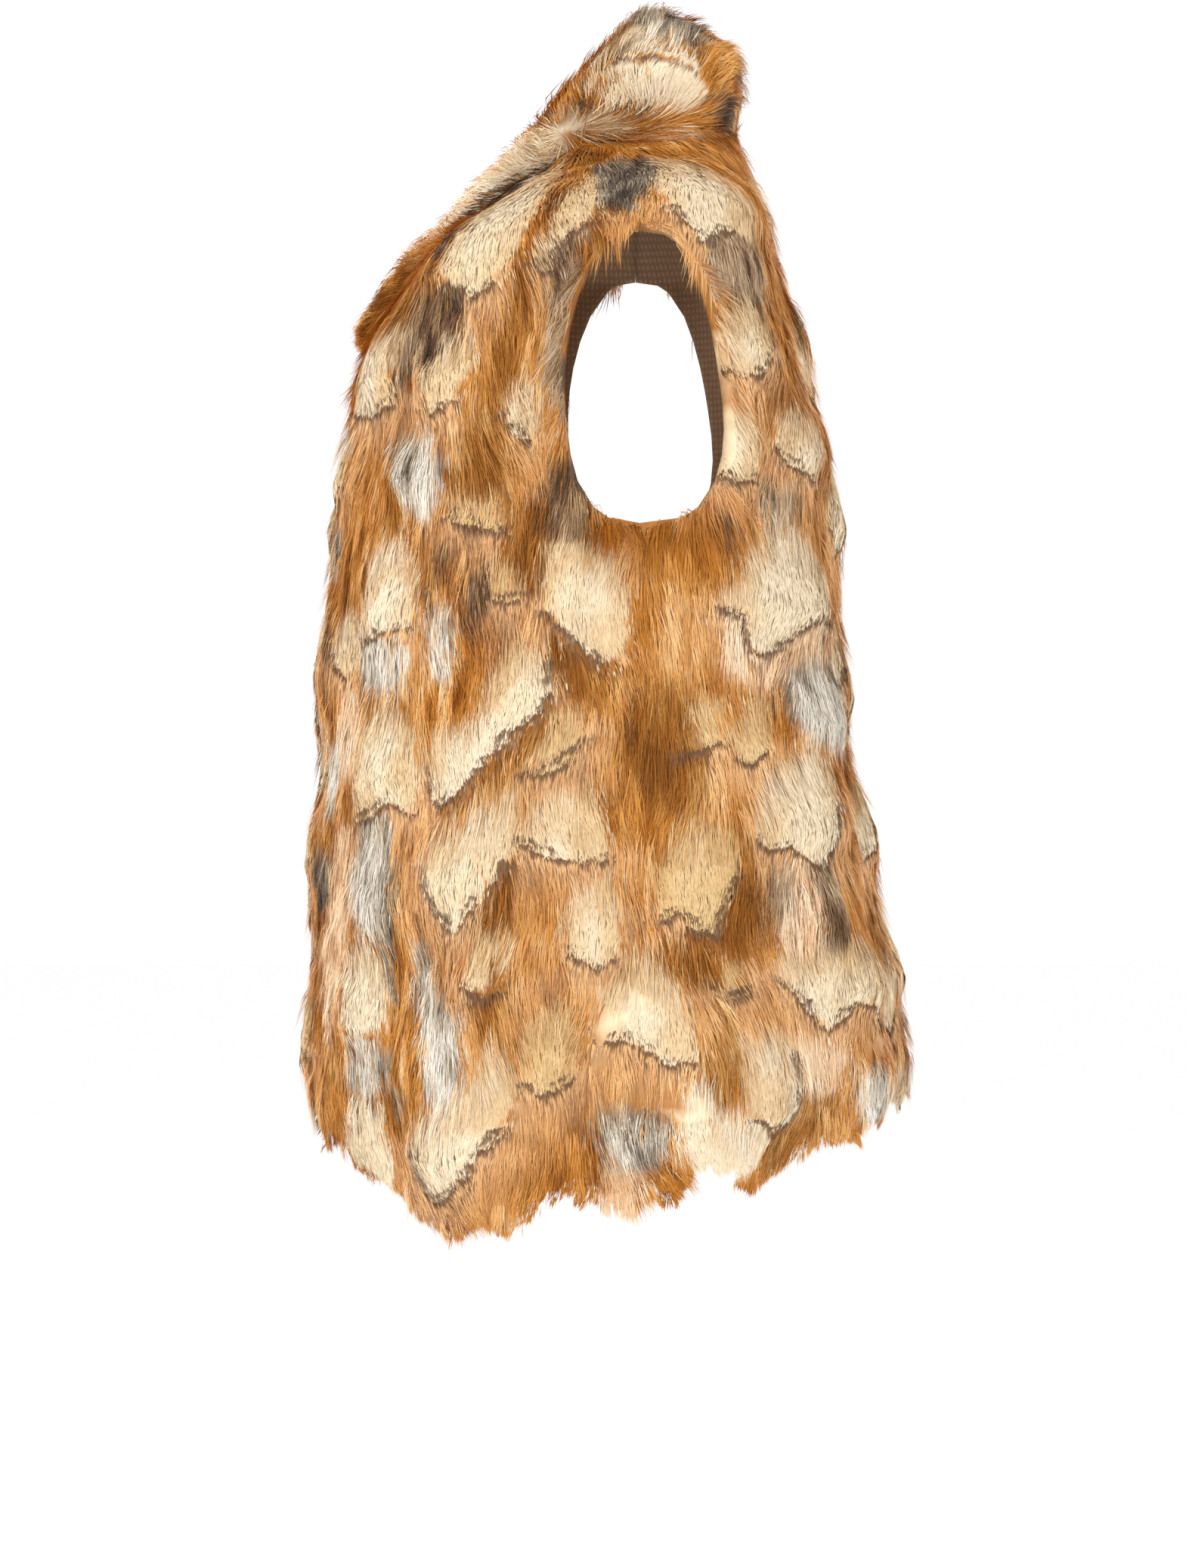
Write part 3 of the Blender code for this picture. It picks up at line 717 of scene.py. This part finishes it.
def charted(pelts, right_round, right_down, levels):
    """The pelts drawn out once on a fine chart, which any place can then be looked up on."""
    turns = np.arange(-180, 180, CHART_STEP)
    across, up = np.meshgrid(np.radians(turns), np.arange(*levels))
    ring = (BODY_ROUND * np.sin(across), AXIS_Y - BODY_ROUND * np.cos(across), up * MM)
    points = np.stack(ring, -1).reshape(-1, 3)
    drawn = [x.reshape(up.shape) for x in pelts_at(points, pelts, right_round, right_down)]

    def look(points):
        column = np.rint((turned(around_of(points)) + 180) / CHART_STEP).astype(int) % len(turns)
        row = np.clip(np.rint(points[:, 2] / MM - levels[0]).astype(int), 0, len(up) - 1)
        return [x[row, column] for x in drawn]

    return look


body_coat = charted(pelts_of(BODY_PATCHES, BODY_PLATES), RIGHT_ROUND, RIGHT_DOWN, BODY_LEVELS)

LOCK_WIDE = 7 * MM
NEIGHBOURS = np.stack(np.meshgrid(*[(-1, 0, 1)] * 3), -1).reshape(-1, 3)


def chance(cells, seed):
    """A steady random number from 0 to 1 for each whole-numbered cell."""
    mix = (cells * (73856093, 19349663, 83492791)).sum(-1) + seed * 2654435761
    mix = (mix ^ (mix >> 13)) * 1274126177 & 0xFFFFFFFF
    mix = (mix ^ (mix >> 16)) * 2246822519 & 0xFFFFFFFF
    return ((mix ^ (mix >> 15)) & 0xFFFFFF) / 0x1000000


def locks(points):
    """The nearest lock's middle for each hair, and a random number of the lock's own."""
    cell = np.floor(points / LOCK_WIDE).astype(np.int64)
    best = np.full(len(points), np.inf)
    middle = np.zeros_like(points)
    mark = np.zeros(len(points))
    for step in NEIGHBOURS:
        other = cell + step
        spot = (other + np.stack([chance(other, k) for k in (1, 2, 3)], -1)) * LOCK_WIDE
        gap = np.linalg.norm(points - spot, axis=1)
        nearer = gap < best
        best = np.where(nearer, gap, best)
        middle = np.where(nearer[:, None], spot, middle)
        mark = np.where(nearer, chance(other, 4), mark)
    return middle, mark


def turned_in_skin(ways, normals, degrees):
    """Directions turned about the skin's normals."""
    angle = np.radians(degrees)[:, None]
    return ways * np.cos(angle) + np.cross(normals, ways) * np.sin(angle)


def in_skin(ways, normals):
    return unit(ways - normals * (ways * normals).sum(1)[:, None])


RIM_BELOW = -0.17
RIM_LEVEL = 0.4
LAY_OUT = 0.7


def faces_up(points, normals):
    """Whether places below the shoulders face up, as the lower rim of an armhole does."""
    return (normals[:, 2] > RIM_LEVEL) & (points[:, 2] < RIM_BELOW)


def body_lay(points, normals):
    """Hair on the body lies down, and on the shoulders and a low rim out from the neck."""
    away = unit((points - (0, AXIS_Y, 0)) * (1, 1, 0))
    way = in_skin(np.array((0, 0, -1.0)) + LAY_OUT * away, normals)
    return turned_in_skin(way, normals, swells(points, BODY_SWING))


def skin_arrays(piece):
    """A skin's points, smooth normals, triangles and their areas."""
    mesh = piece.data
    mesh.calc_loop_triangles()
    corners = np.empty(len(mesh.loop_triangles) * 3, np.int32)
    mesh.loop_triangles.foreach_get("vertices", corners)
    corners = corners.reshape(-1, 3)
    points = places(mesh)
    a, b, c = (points[corners[:, k]] for k in range(3))
    faces = np.cross(b - a, c - a)
    normals = np.zeros_like(points)
    for k in range(3):
        np.add.at(normals, corners[:, k], faces)
    return points, unit(normals), corners, np.linalg.norm(faces, axis=1) / 2


HEM_SLOT = 4


def above_hem(points, ends):
    """How far points lie above the lowest end of a skin, at their own angle."""
    slot = np.floor(turned(around_of(ends)) / HEM_SLOT).astype(int)
    marks = np.unique(slot)
    lowest = np.array([ends[slot == mark, 2].min() for mark in marks])
    middles = (marks + 0.5) * HEM_SLOT
    return points[:, 2] - np.interp(turned(around_of(points)), middles, lowest, period=360)


# Each hair's seat on the skin, its spot on the chart, the ways out and along, its coat, how far it
# is above its own foot and below another's, its lock's middle and mark, and how far the hem is
Hair = namedtuple("Hair", "seat spot out lay coat above under middle mark ends")
TRIED = 1.75
CRISP_BELOW_FOOT = 12.0
CRISP_STRAY = 1.0 * MM
SOFT_STRAY = 4.0 * MM
TUFT_RAGGED = 12 * MM
TUFT_MIDDLE = 0.6


def of_coat(coat, field):
    return np.array([getattr(row, field) for row in COATS.values()])[coat]


def seated(rng, points, normals, corners, area, hairs, lay_of, coat_of):
    """Hairs set at random over a skin, as dense as their coats say, down to the fringe."""
    tried = int(hairs * TRIED)
    pick = rng.choice(len(area), tried, p=area / area.sum())
    share = rng.dirichlet((1, 1, 1), tried)[:, :, None]
    seat = (points[corners[pick]] * share).sum(1)
    out = unit((normals[corners[pick]] * share).sum(1))
    lay = lay_of(seat, out)
    coat, _, _, under, _ = coat_of(seat)
    crisp = np.isin(coat, PLUSH) | (under < CRISP_BELOW_FOOT)
    stray = np.where(crisp, CRISP_STRAY, SOFT_STRAY) * rng.normal(size=tried)
    spot = seat + np.cross(out, lay) * stray[:, None]
    coat, _, above, under, _ = coat_of(spot)
    middle, mark = locks(seat)
    ends = seat[:, 2] - fringe(seat) + TUFT_RAGGED * (mark - TUFT_MIDDLE)
    kept = np.flatnonzero((rng.random(tried) < of_coat(coat, "density")) & (ends > 0))[:hairs]
    return Hair(*(x[kept] for x in (seat, spot, out, lay, coat, above, under, middle, mark, ends)))


HAIR_WIDEST = 0.5
HAIR_LEAST = 7 * MM
LENGTH_LIMITS = (0.5, 1.6)
WIDTH_LIMITS = (0.75, 1.25)
LIFT_MEAN = 0.6
LIFT_VARIES = 0.5
LOCKS_UP = 0.92
LOCK_LIFTS = 4.2
FOOT_LIFTS = 2.0 * MM
FOOT_BAND = 6.0
LAY_VARIES = 5
BROAD_DRAWN = 0.4
BROAD_LIFTS = 0.6
BROAD_SINKS = 0.4 * MM
PAST_EDGE = 8 * MM
PAST_RIM = 1.5 * MM
RIM_LIFTS = 1.6 * MM
RIM_DROOPS = 9 * MM
RIM_OUT = 0.4
MIDDLE_CLEAR = 1 * MM
MIDDLE_ABOVE = -0.150
HAIR_ROLL = 0.25
HAIR_ROUND = 0.35
PLUSH_ROUND = 0.4
HAIR_SHADES_AS_SKIN = 0.85
PLUSH_SHADES_AS_SKIN = 0.97


def nearest(tree, points):
    return np.array([tree.find_nearest(p)[0] for p in points.tolist()])


def shaped(rng, hair, tree, hem, raised):
    """Each hair's four corners, from root to tip, the way they face, and its lie and length."""
    seat, out, coat = hair.seat, hair.out, hair.coat
    count = len(coat)
    plush = np.isin(coat, PLUSH)
    vary = np.clip(1 + of_coat(coat, "vary") * rng.normal(size=count), *LENGTH_LIMITS)
    length = np.minimum(of_coat(coat, "length") * MM * vary, np.maximum(hair.ends, HAIR_LEAST))
    stand = rng.normal(size=count) * LIFT_VARIES + LIFT_MEAN + LOCK_LIFTS * (hair.mark > LOCKS_UP)
    lift = of_coat(coat, "lift") * MM * raised * stand
    lift += FOOT_LIFTS * plush * np.exp(-hair.above / FOOT_BAND)
    low_rim = faces_up(seat, out)
    lift += RIM_LIFTS * low_rim
    lay = turned_in_skin(hair.lay, out, LAY_VARIES * rng.normal(size=count))
    offset = seat - hair.middle
    offset = offset - out * (offset * out).sum(1)[:, None] - lay * (offset * lay).sum(1)[:, None]
    pull = offset * of_coat(coat, "clump")[:, None]
    side = np.sign(seat[:, 0])
    parted = (seat[:, 1] < AXIS_Y) & (seat[:, 2] > MIDDLE_ABOVE)
    most = rng.random(count) ** 2 * np.where(low_rim, PAST_RIM, PAST_EDGE)
    if hem is not None:
        most = np.maximum(most, seat[:, 2] - above_hem(seat, hem) - fringe(seat))

    def on_skin(far, drawn):
        """Points a share of the way along the hairs, laid on the skin, on their own side of an open front."""
        aim = seat + lay * (far * length)[:, None] - pull * drawn
        aim[:, 0] = np.where(parted, side * np.maximum(aim[:, 0] * side, MIDDLE_CLEAR), aim[:, 0])
        met = nearest(tree, aim)
        past = aim - met
        past = past - out * (past * out).sum(1)[:, None]
        reach = np.linalg.norm(past, axis=1)
        return met + past * np.minimum(1, most / np.maximum(reach, 1e-9))[:, None]

    root = seat - out * (of_coat(coat, "depth") * MM)[:, None]
    broad = on_skin(HAIR_WIDEST, BROAD_DRAWN) + out * (lift * BROAD_LIFTS - BROAD_SINKS)[:, None]
    tip = on_skin(1.0, 1.0) + out * lift[:, None]
    droop = RIM_DROOPS * low_rim * rng.uniform(0.5, 1.5, count)
    tip += (lay * RIM_OUT - (0, 0, 1)) * droop[:, None]
    ahead = unit(tip - broad)
    across = unit(np.cross(ahead, out))
    face = np.cross(across, ahead)
    roll = (HAIR_ROLL * rng.normal(size=count))[:, None]
    across, face = across * np.cos(roll) + face * np.sin(roll), face * np.cos(roll) - across * np.sin(roll)
    as_skin = np.where(plush, PLUSH_SHADES_AS_SKIN, HAIR_SHADES_AS_SKIN)[:, None]
    face = unit(face * (1 - as_skin) + out * as_skin)
    half = (of_coat(coat, "wide") * MM / 2 * rng.uniform(*WIDTH_LIMITS, count))[:, None]
    ring = np.stack([root, broad - across * half, broad + across * half, tip], 1)
    fan = HAIR_ROUND * np.where(plush, PLUSH_ROUND, 1)[:, None] * across
    turn = np.stack([face, unit(face - fan), unit(face + fan), face], 1)
    return ring, turn, lay, length


TAN_AT_TOP = 0.6
SOFT_REACH = 18.0
STAIN_REACH = 0.9 * SOFT_REACH
BLUSH_MOST = 0.75
BLUSH_REACH = 22.0
SEEN_AT = np.linspace(0.05, 0.95, 10)
# The dark line at a plate's foot: dark hair with a painted shadow under the plate's step
LINE_HALF = 1.2
LINE_VARIES = 0.3
LINE_TRAILS = 1.4 * MM
LINE_LEAST = 0.02
PAST_TIP = 2
FOOT_FEATHERS = 0.35 * MM
FOOT_TUFTS = 1.2 * MM
FOOT_BLUR = 0.08
SOFT_FEATHERS = 0.14
SOFT_BLUR = 0.5
# Dark roots on long hair, darker just below a plate's foot, where they add a painted shade under the step
ROOT_SHADE_REACH = 5.0
DUSK_AT_FOOT = 0.22
DUSK = 0.06
LOCK_TONES = 0.22
HAIR_TONES = 0.20
PLUSH_TONES = 0.6
LONG_TONES = 1.3
STREAKY_TONES = 1.9
BROAD_STREAKS = (Swell(0.14, 0.11, 21),)
FINE_STREAKS = (Swell(0.15, 0.018, 22),)
STREAKS_LONG = (1, 1, 0.3)
STAINS = (Swell(1, 0.06, 24),)


def hair_tone(coat, soft, under, dice):
    """A colour for each hair, pale or dark as a dice says, tanner by a plate's top, peach below its foot."""
    step = np.clip(dice, 0, 0.999) * (PALETTE.shape[1] - 1)
    low, share = step.astype(int), (step % 1)[:, None]
    tone = PALETTE[coat, low] * (1 - share) + PALETTE[coat, low + 1] * share
    tan = np.where(np.isin(coat, PLUSH), TAN_AT_TOP * (1 - ease(soft / SOFT_REACH)), 0)[:, None]
    tone = tone * (1 - tan) + PLUSH_TOP * tan
    blush = np.where(coat == GINGER, BLUSH_MOST * np.exp(-((under / BLUSH_REACH) ** 2)), 0)[:, None]
    return tone * (1 - blush) + BLUSH * blush


def coloured(rng, hair, lay, length, coat_of):
    """Where each hair leaves its pelt and where a foot's dark line, dark hair with a painted shadow under the
    plate, crosses it, and its colours.
    """
    count = len(hair.coat)
    plush = np.isin(hair.coat, PLUSH)
    seen = [coat_of(hair.spot + lay * (far * length)[:, None]) for far in SEEN_AT]
    coats, soft, _, past, gaps = (np.stack(x, 1) for x in zip(*seen))
    leaves = coats != coats[:, :1]
    at = np.where(leaves.any(1), leaves.argmax(1), len(SEEN_AT) // 2)
    each = np.arange(count)
    foot = plush & leaves.any(1) & (coats[each, at] != hair.coat) & (past[each, at] < FOOT_BAND)
    feather = (FOOT_FEATHERS * rng.normal(size=count) + FOOT_TUFTS * (hair.mark - 0.5)) / length
    # Samples along each hair that lie in a foot's dark line, dark hair and painted shadow
    thick = LINE_HALF * (1 + LINE_VARIES * wander(hair.spot, 0.03, 7))
    dark = gaps < thick[:, None]
    before, after = gaps[each, at - 1], gaps[each, at]
    part = np.where(foot, before / np.maximum(before + after, 0.01), 0.5)
    leave = SEEN_AT[at - 1] + part * (SEEN_AT[at] - SEEN_AT[at - 1])
    leave += np.where(foot, feather, SOFT_FEATHERS * rng.normal(size=count))
    crosses = (dark * SEEN_AT).sum(1) / np.maximum(dark.sum(1), 1) - dark.mean(1) / 2
    line_at = np.where(dark.any(1), np.where(foot, leave, crosses + feather), PAST_TIP)
    line = dark.mean(1) + rng.exponential(LINE_TRAILS, count) / length + LINE_LEAST
    # Long hair rooted just below a plate's foot gets darker roots, a painted shade under the plate's step;
    # other long hair gets slightly dark roots
    shaded_roots = ~plush & (hair.under < ROOT_SHADE_REACH)
    dusk = np.where(shaded_roots, DUSK_AT_FOOT, np.where(plush, 0, DUSK)) * rng.uniform(0.3, 1.5, count)
    streak = swells(hair.seat, BROAD_STREAKS) + swells(hair.seat * STREAKS_LONG, FINE_STREAKS)
    spread = np.where(plush, PLUSH_TONES, np.where(np.isin(hair.coat, STREAKY), STREAKY_TONES, LONG_TONES))
    own = LOCK_TONES * (hair.mark - 0.5) + HAIR_TONES * (rng.random(count) - 0.5)
    dice = 0.5 + (own + streak) * spread
    stain = STAIN_REACH * np.maximum(swells(hair.seat, STAINS), 0)
    marks = {
        "leave": leave, "line": line, "line_at": line_at, "dusk": dusk,
        "blur": np.where(foot, FOOT_BLUR, SOFT_BLUR),
    }
    tones = {
        "tone": hair_tone(hair.coat, soft[:, 0] - stain, hair.under, dice),
        "tip_tone": hair_tone(coats[:, -1], soft[:, -1] - stain, past[:, -1], dice),
    }
    return marks, tones


LINE_SHADOW_DARK = 0.95
LINE_SHARP = 16.0
DUSK_SHARP = 7.0
GRAIN = 420.0
GRAIN_SHADES = 0.18

fur_coat, dye, shader = new_finish("fur_hair")
tone, tip_tone = (dye.node("ShaderNodeAttribute", {}, attribute_name=x) for x in ("tone", "tip_tone"))
along, leave, line, line_at, blur, dusk = (
    dye.node("ShaderNodeAttribute", {}, out=2, attribute_name=x)
    for x in ("along", "leave", "line", "line_at", "blur", "dusk")
)
colour = ((along - leave) / blur + 0.5).clamped().mixed(tone, tip_tone)
past = along - line_at
# The dark line mixed toward the root colour: dark hair with a painted shadow under a plate's foot
dark = (past * LINE_SHARP + 0.6).clamped() * (1.5 - past / line).clamped() * LINE_SHADOW_DARK
colour = dark.mixed(colour, ROOT_AND_SHADE)
# Dark roots at each hair's root end, with painted shade below a plate's foot
colour = ((dusk - along) * DUSK_SHARP).clamped().mixed(colour, ROOT_AND_SHADE)
place = dye.node("ShaderNodeTexCoord", {}, out=3)
grain = dye.node("ShaderNodeTexNoise", {"Vector": place, "Scale": GRAIN, "Detail": 2.0})
feed(colour.shaded(grain, GRAIN_SHADES), shader, "Base Color")
feed(0.66 - along * 0.16, shader, "Roughness")
shader.inputs["Specular IOR Level"].default_value = 0.10

WOOL_TONE = 0.45
# Painted light and shade on the underwool: lighter under plush to offset the shadow between its hairs, darker
# under long hair like hair in shadow
PLUSH_WOOL_PAINTED_LIGHT = 1.1
LONG_WOOL_PAINTED_SHADE = 0.75
MAP_COLUMNS = 640
HEM_THICKER = 1.6
HEM_BAND = 50 * MM


def dye_points(mesh, label, tone):
    """Keeps a colour for each point of a mesh."""
    dyed = np.concatenate([tone, np.ones((len(tone), 1))], 1).astype(np.float32)
    mesh.attributes.new(label, "FLOAT_COLOR", "POINT").data.foreach_set("color", dyed.ravel())


def dye_wool(cloth, coat_of):
    """Colours a cloth's underwool like the hair that lies over it, with painted light under plush and painted
    shade under long hair.
    """
    points = places(cloth.data)
    coat, soft, _, under, _ = coat_of(points)
    wool_light_and_shade = np.where(np.isin(coat, PLUSH), PLUSH_WOOL_PAINTED_LIGHT, LONG_WOOL_PAINTED_SHADE)[:, None]
    dye_points(cloth.data, "tone", hair_tone(coat, soft, under, np.full(len(points), WOOL_TONE)) * wool_light_and_shade)


def hair_mesh(name, ring, turn, marks, tones):
    """A mesh of two triangles for each hair, which has a cell of the UV map, its marks and its colours."""
    count = len(ring)
    mesh = bpy.data.meshes.new(name)
    mesh.vertices.add(count * 4)
    mesh.vertices.foreach_set("co", ring.astype(np.float32).ravel())
    pattern = np.array((0, 2, 1, 1, 2, 3))
    first = np.arange(count)[:, None]
    mesh.loops.add(count * 6)
    mesh.loops.foreach_set("vertex_index", (first * 4 + pattern).astype(np.int32).ravel())
    mesh.polygons.add(count * 2)
    mesh.polygons.foreach_set("loop_start", (first * 6 + (0, 3)).astype(np.int32).ravel())
    mesh.update(calc_edges=True)
    mesh.validate()
    mesh.shade_smooth()
    mesh.normals_split_custom_set_from_vertices(turn.reshape(-1, 3).astype(np.float32))
    rows = math.ceil(count / MAP_COLUMNS)
    corner = np.array([(0.5, 0.02), (0.1, HAIR_WIDEST), (0.9, HAIR_WIDEST), (0.5, 0.98)])
    cell = np.stack([first[:, 0] % MAP_COLUMNS, first[:, 0] // MAP_COLUMNS], 1)
    chart = (cell[:, None] + corner[pattern]) / (MAP_COLUMNS, rows)
    mesh.uv_layers.new(name="OFBake").data.foreach_set("uv", chart.astype(np.float32).ravel())
    along = np.tile((0, HAIR_WIDEST, HAIR_WIDEST, 1), count)
    for label, values in {"along": along, **{k: v.repeat(4) for k, v in marks.items()}}.items():
        mesh.attributes.new(label, "FLOAT", "POINT").data.foreach_set("value", values.astype(np.float32))
    for label, tone in tones.items():
        dye_points(mesh, label, tone.repeat(4, 0))
    return mesh


def grow(name, skin, hairs, seed, lay_of, coat_of, raised=1.0, over=()):
    """A piece of tapered hairs all over a skin, which lie on over other skins too."""
    rng = np.random.default_rng(seed)
    points, normals, corners, area = skin_arrays(skin)
    bed, faces = points, corners
    for other in over:
        more, _, turns, _ = skin_arrays(other)
        faces = np.concatenate([faces, turns + len(bed)])
        bed = np.concatenate([bed, more])
    tree = BVHTree.FromPolygons(bed.tolist(), faces.tolist())
    hem = points if points[:, 2].min() < HEM_BELOW else None
    if hem is not None:
        near = 1 - ease(above_hem(points[corners].mean(1), hem) / HEM_BAND)
        area = area * (1 + HEM_THICKER * near)
    hair = seated(rng, points, normals, corners, area, hairs, lay_of, coat_of)
    ring, turn, lay, length = shaped(rng, hair, tree, hem, raised)
    marks, tones = coloured(rng, hair, lay, length, coat_of)
    fur = bpy.data.objects.new(name, hair_mesh(name, ring, turn, marks, tones))
    bpy.context.scene.collection.objects.link(fur)
    fur.data.materials.append(fur_coat)
    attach(fur, "root")
    return fur


HAIRS = {"front_left": 96000, "front_right": 96000, "back": 192000}
FUR_SEED = 40
ARMHOLE_LEVELS = (-0.250, -0.052)
ARMHOLE_OUT = 0.13
NECK_ABOVE = -0.15
NECK_AHEAD = -0.06


def hair_side(panel):
    """A test for where a panel carries hair: its outside, and its rim round the armhole and the neck."""

    def test(place, normal):
        side = facing(panel, place, normal)
        armhole = ARMHOLE_LEVELS[0] < place[2] < ARMHOLE_LEVELS[1] and abs(place[0]) > ARMHOLE_OUT
        neck = place[2] > NECK_ABOVE and place[1] < NECK_AHEAD and abs(place[0]) < ARMHOLE_OUT
        return side > 0 or (side == 0 and (armhole or neck))

    return test


for number, panel in enumerate(PANELS):
    dye_wool(cloths[panel.name], body_coat)
    slot = "fur_" + panel.name
    halves = (("_left", 1), ("_right", -1)) if panel.name == "back" else (("", 0),)
    for label, side in halves:
        skin = merged_copy("skin", panel.name)
        kept_faces(skin, hair_side(panel))
        if side:
            only(skin)
            bpy.ops.object.mode_set(mode="EDIT")
            bpy.ops.mesh.select_all(action="SELECT")
            bpy.ops.mesh.bisect(plane_co=(0, 0, 0), plane_no=(-side, 0, 0), clear_outer=True, use_fill=False)
            bpy.ops.object.mode_set(mode="OBJECT")
        count = HAIRS[panel.name] // len(halves)
        fur = grow(slot + label, skin, count, FUR_SEED + 10 * number + side, body_lay, body_coat)
        bpy.data.objects.remove(skin)


# Collar: a strip of the same fur cloth folded double, so that it has hair on both faces. It is
# sewn to the neck and to both front edges, stands round the nape and ends at the bust.
COLLAR_CORE = 1.2 * MM
COLLAR_HAIRS = 68000
COLLAR_PATCHES = {
    CREAM: (
        (90, 52, 94, 62, 101, 67, 110, 68, 119, 65, 127, 60, 132, 50, 130, 43, 122, 40, 114, 39, 108, 43,
         100, 46, 93, 48),
        (62, -14, 55.5, -21, 50, -28, 43.5, -38, 41, -50, 46, -66, 56, -54, 66, -20),
    ),
    UMBER: (
        (101, 52, 109, 46, 116, 36, 112, 33, 104, 39, 97, 45),
        (91, 64, 100, 74, 110, 75, 120, 71, 129, 64, 128, 61, 119, 66, 109, 70, 100, 69, 94, 62),
        (80, 50, 89, 50, 89, 43, 80, 44),
        (134, 46, 142, 53, 160, 47, 172, 36, 160, 25, 146, 27, 136, 34),
        (30, -62, 36, -60, 36, -80, 28, -84),
    ),
    PALE: (
        (80, 58, 86, 72, 95, 86, 106, 94, 116, 94, 126, 83, 134, 70, 129, 66, 120, 73, 110, 77, 100, 76,
         92, 66, 88, 56),
        (82, 36, 92, 36, 100, 33, 105, 26, 98, 19, 88, 17, 80, 24),
        (78, 30, 70, 30, 58, 20, 46, -4, 38, -24, 34, -38, 41, -34, 48, -21, 54, -14, 60, -7, 70, 0, 79, 8),
    ),
    DUSKY: (
        (114, 98, 122, 112, 140, 114, 152, 104, 148, 90, 136, 86, 124, 90),
    ),
    PEACH: (
        (108, 22, 118, 24, 130, 28, 130, 10, 110, 8),
        (60, 34, 50, 20, 40, -2, 30, -26, 26, -44, 34, -44, 40, -28, 48, -8, 58, 14),
    ),
    TAUPE: (
        (156, 78, 168, 84, 178, 70, 168, 56, 158, 62),
        (82, 40, 74, 40, 68, 34, 70, 26, 78, 26, 84, 30),
    ),
    # The line under the band, along its seam: dark hair and a painted shadow of the seam's groove
    SHADE_LINE: (
        (60, -7, 53, -14, 47.5, -21, 40.5, -33, 37, -47, 40.5, -49, 43.5, -37, 50, -27, 55.5, -20, 62, -13),
    ),
    RUST: (
        (33, -48, 27, -46, 22, -58, 26, -72, 33, -68),
        (20, -64, 26, -74, 26, -88, 12, -102, 6, -84),
    ),
}
UP_FROM = 20 * MM
UP_BY = 16 * MM
FRONT_BAND = 65
SHOULDER_BY = 25
BAND_ENDS = -100 * MM
BAND_TURNS = 50 * MM
COLLAR_SWING = (Swell(14, 0.06, 31), Swell(9, 0.02, 32))
COLLAR_LEVELS = (-120, 130)
COLLAR_SEED = 91
COLLAR_RAISED = 1.4

# How far the hair's lie turns from straight up towards the nape, by the angle round the neck
LIE_ROUND = (75, 105, 130, 150, 180)
LIE_TURN = (-25, 0, 45, 105, 165)

collar_coat = charted(pelts_of(COLLAR_PATCHES, {}), 0, 0, COLLAR_LEVELS)


def collar_lay(points, normals):
    """Hair runs out over the free edge in front, up at the sides, and down over the seam at the shoulder."""
    side = np.where(points[:, :1] < 0, -1.0, 1.0)
    inward = ease((points[:, 2:3] - BAND_ENDS) / BAND_TURNS)
    band = np.concatenate([-0.6 * side * inward, -0.5 + 0 * side, 0.6 * inward - 0.2], 1)
    away = unit((points - (0, AXIS_Y, 0)) * (1, 1, 0))
    back = side * np.stack([-away[:, 1], away[:, 0], 0 * away[:, 0]], 1)
    outer = ease((normals * away).sum(1) * 2 + 0.5)
    turn = np.radians(np.interp(np.abs(around_of(points)), LIE_ROUND, LIE_TURN) * outer)[:, None]
    stand = np.array((0, 0, 1.0)) * np.cos(turn) + back * np.sin(turn)
    high = ease((points[:, 2:3] - UP_FROM) / UP_BY)
    shoulder = ease((np.abs(around_of(points)) - FRONT_BAND) / SHOULDER_BY)[:, None]
    low = band * (1 - shoulder) + (0.8 * away + 0.7 * back - (0, 0, 0.6)) * shoulder
    way = in_skin(low * (1 - high) + stand * high, normals)
    return turned_in_skin(way, normals, swells(points, COLLAR_SWING))


core = merged_copy("cloth_collar", "collar")
points, normals, _, _ = skin_arrays(core)
put(core.data, points - normals * COLLAR_CORE)
core.data.materials.append(wool)
finish_with(core, "SUBSURF", levels=1, render_levels=1)
chart_map(core.data)
core.data.shade_smooth()
dye_wool(core, collar_coat)
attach(core, "root")
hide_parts("collar")
skin = merged_copy("skin", "collar")
shoulders = [merged_copy("shoulder", panel.name) for panel in PANELS]
for shoulder in shoulders:
    kept_faces(shoulder, lambda place, normal: abs(around_of(place[None])[0]) > FRONT_BAND)
fur = grow(
    "fur_collar", skin, COLLAR_HAIRS, COLLAR_SEED, collar_lay, collar_coat,
    raised=COLLAR_RAISED, over=shoulders,
)
for bed in (skin, *shoulders):
    bpy.data.objects.remove(bed)
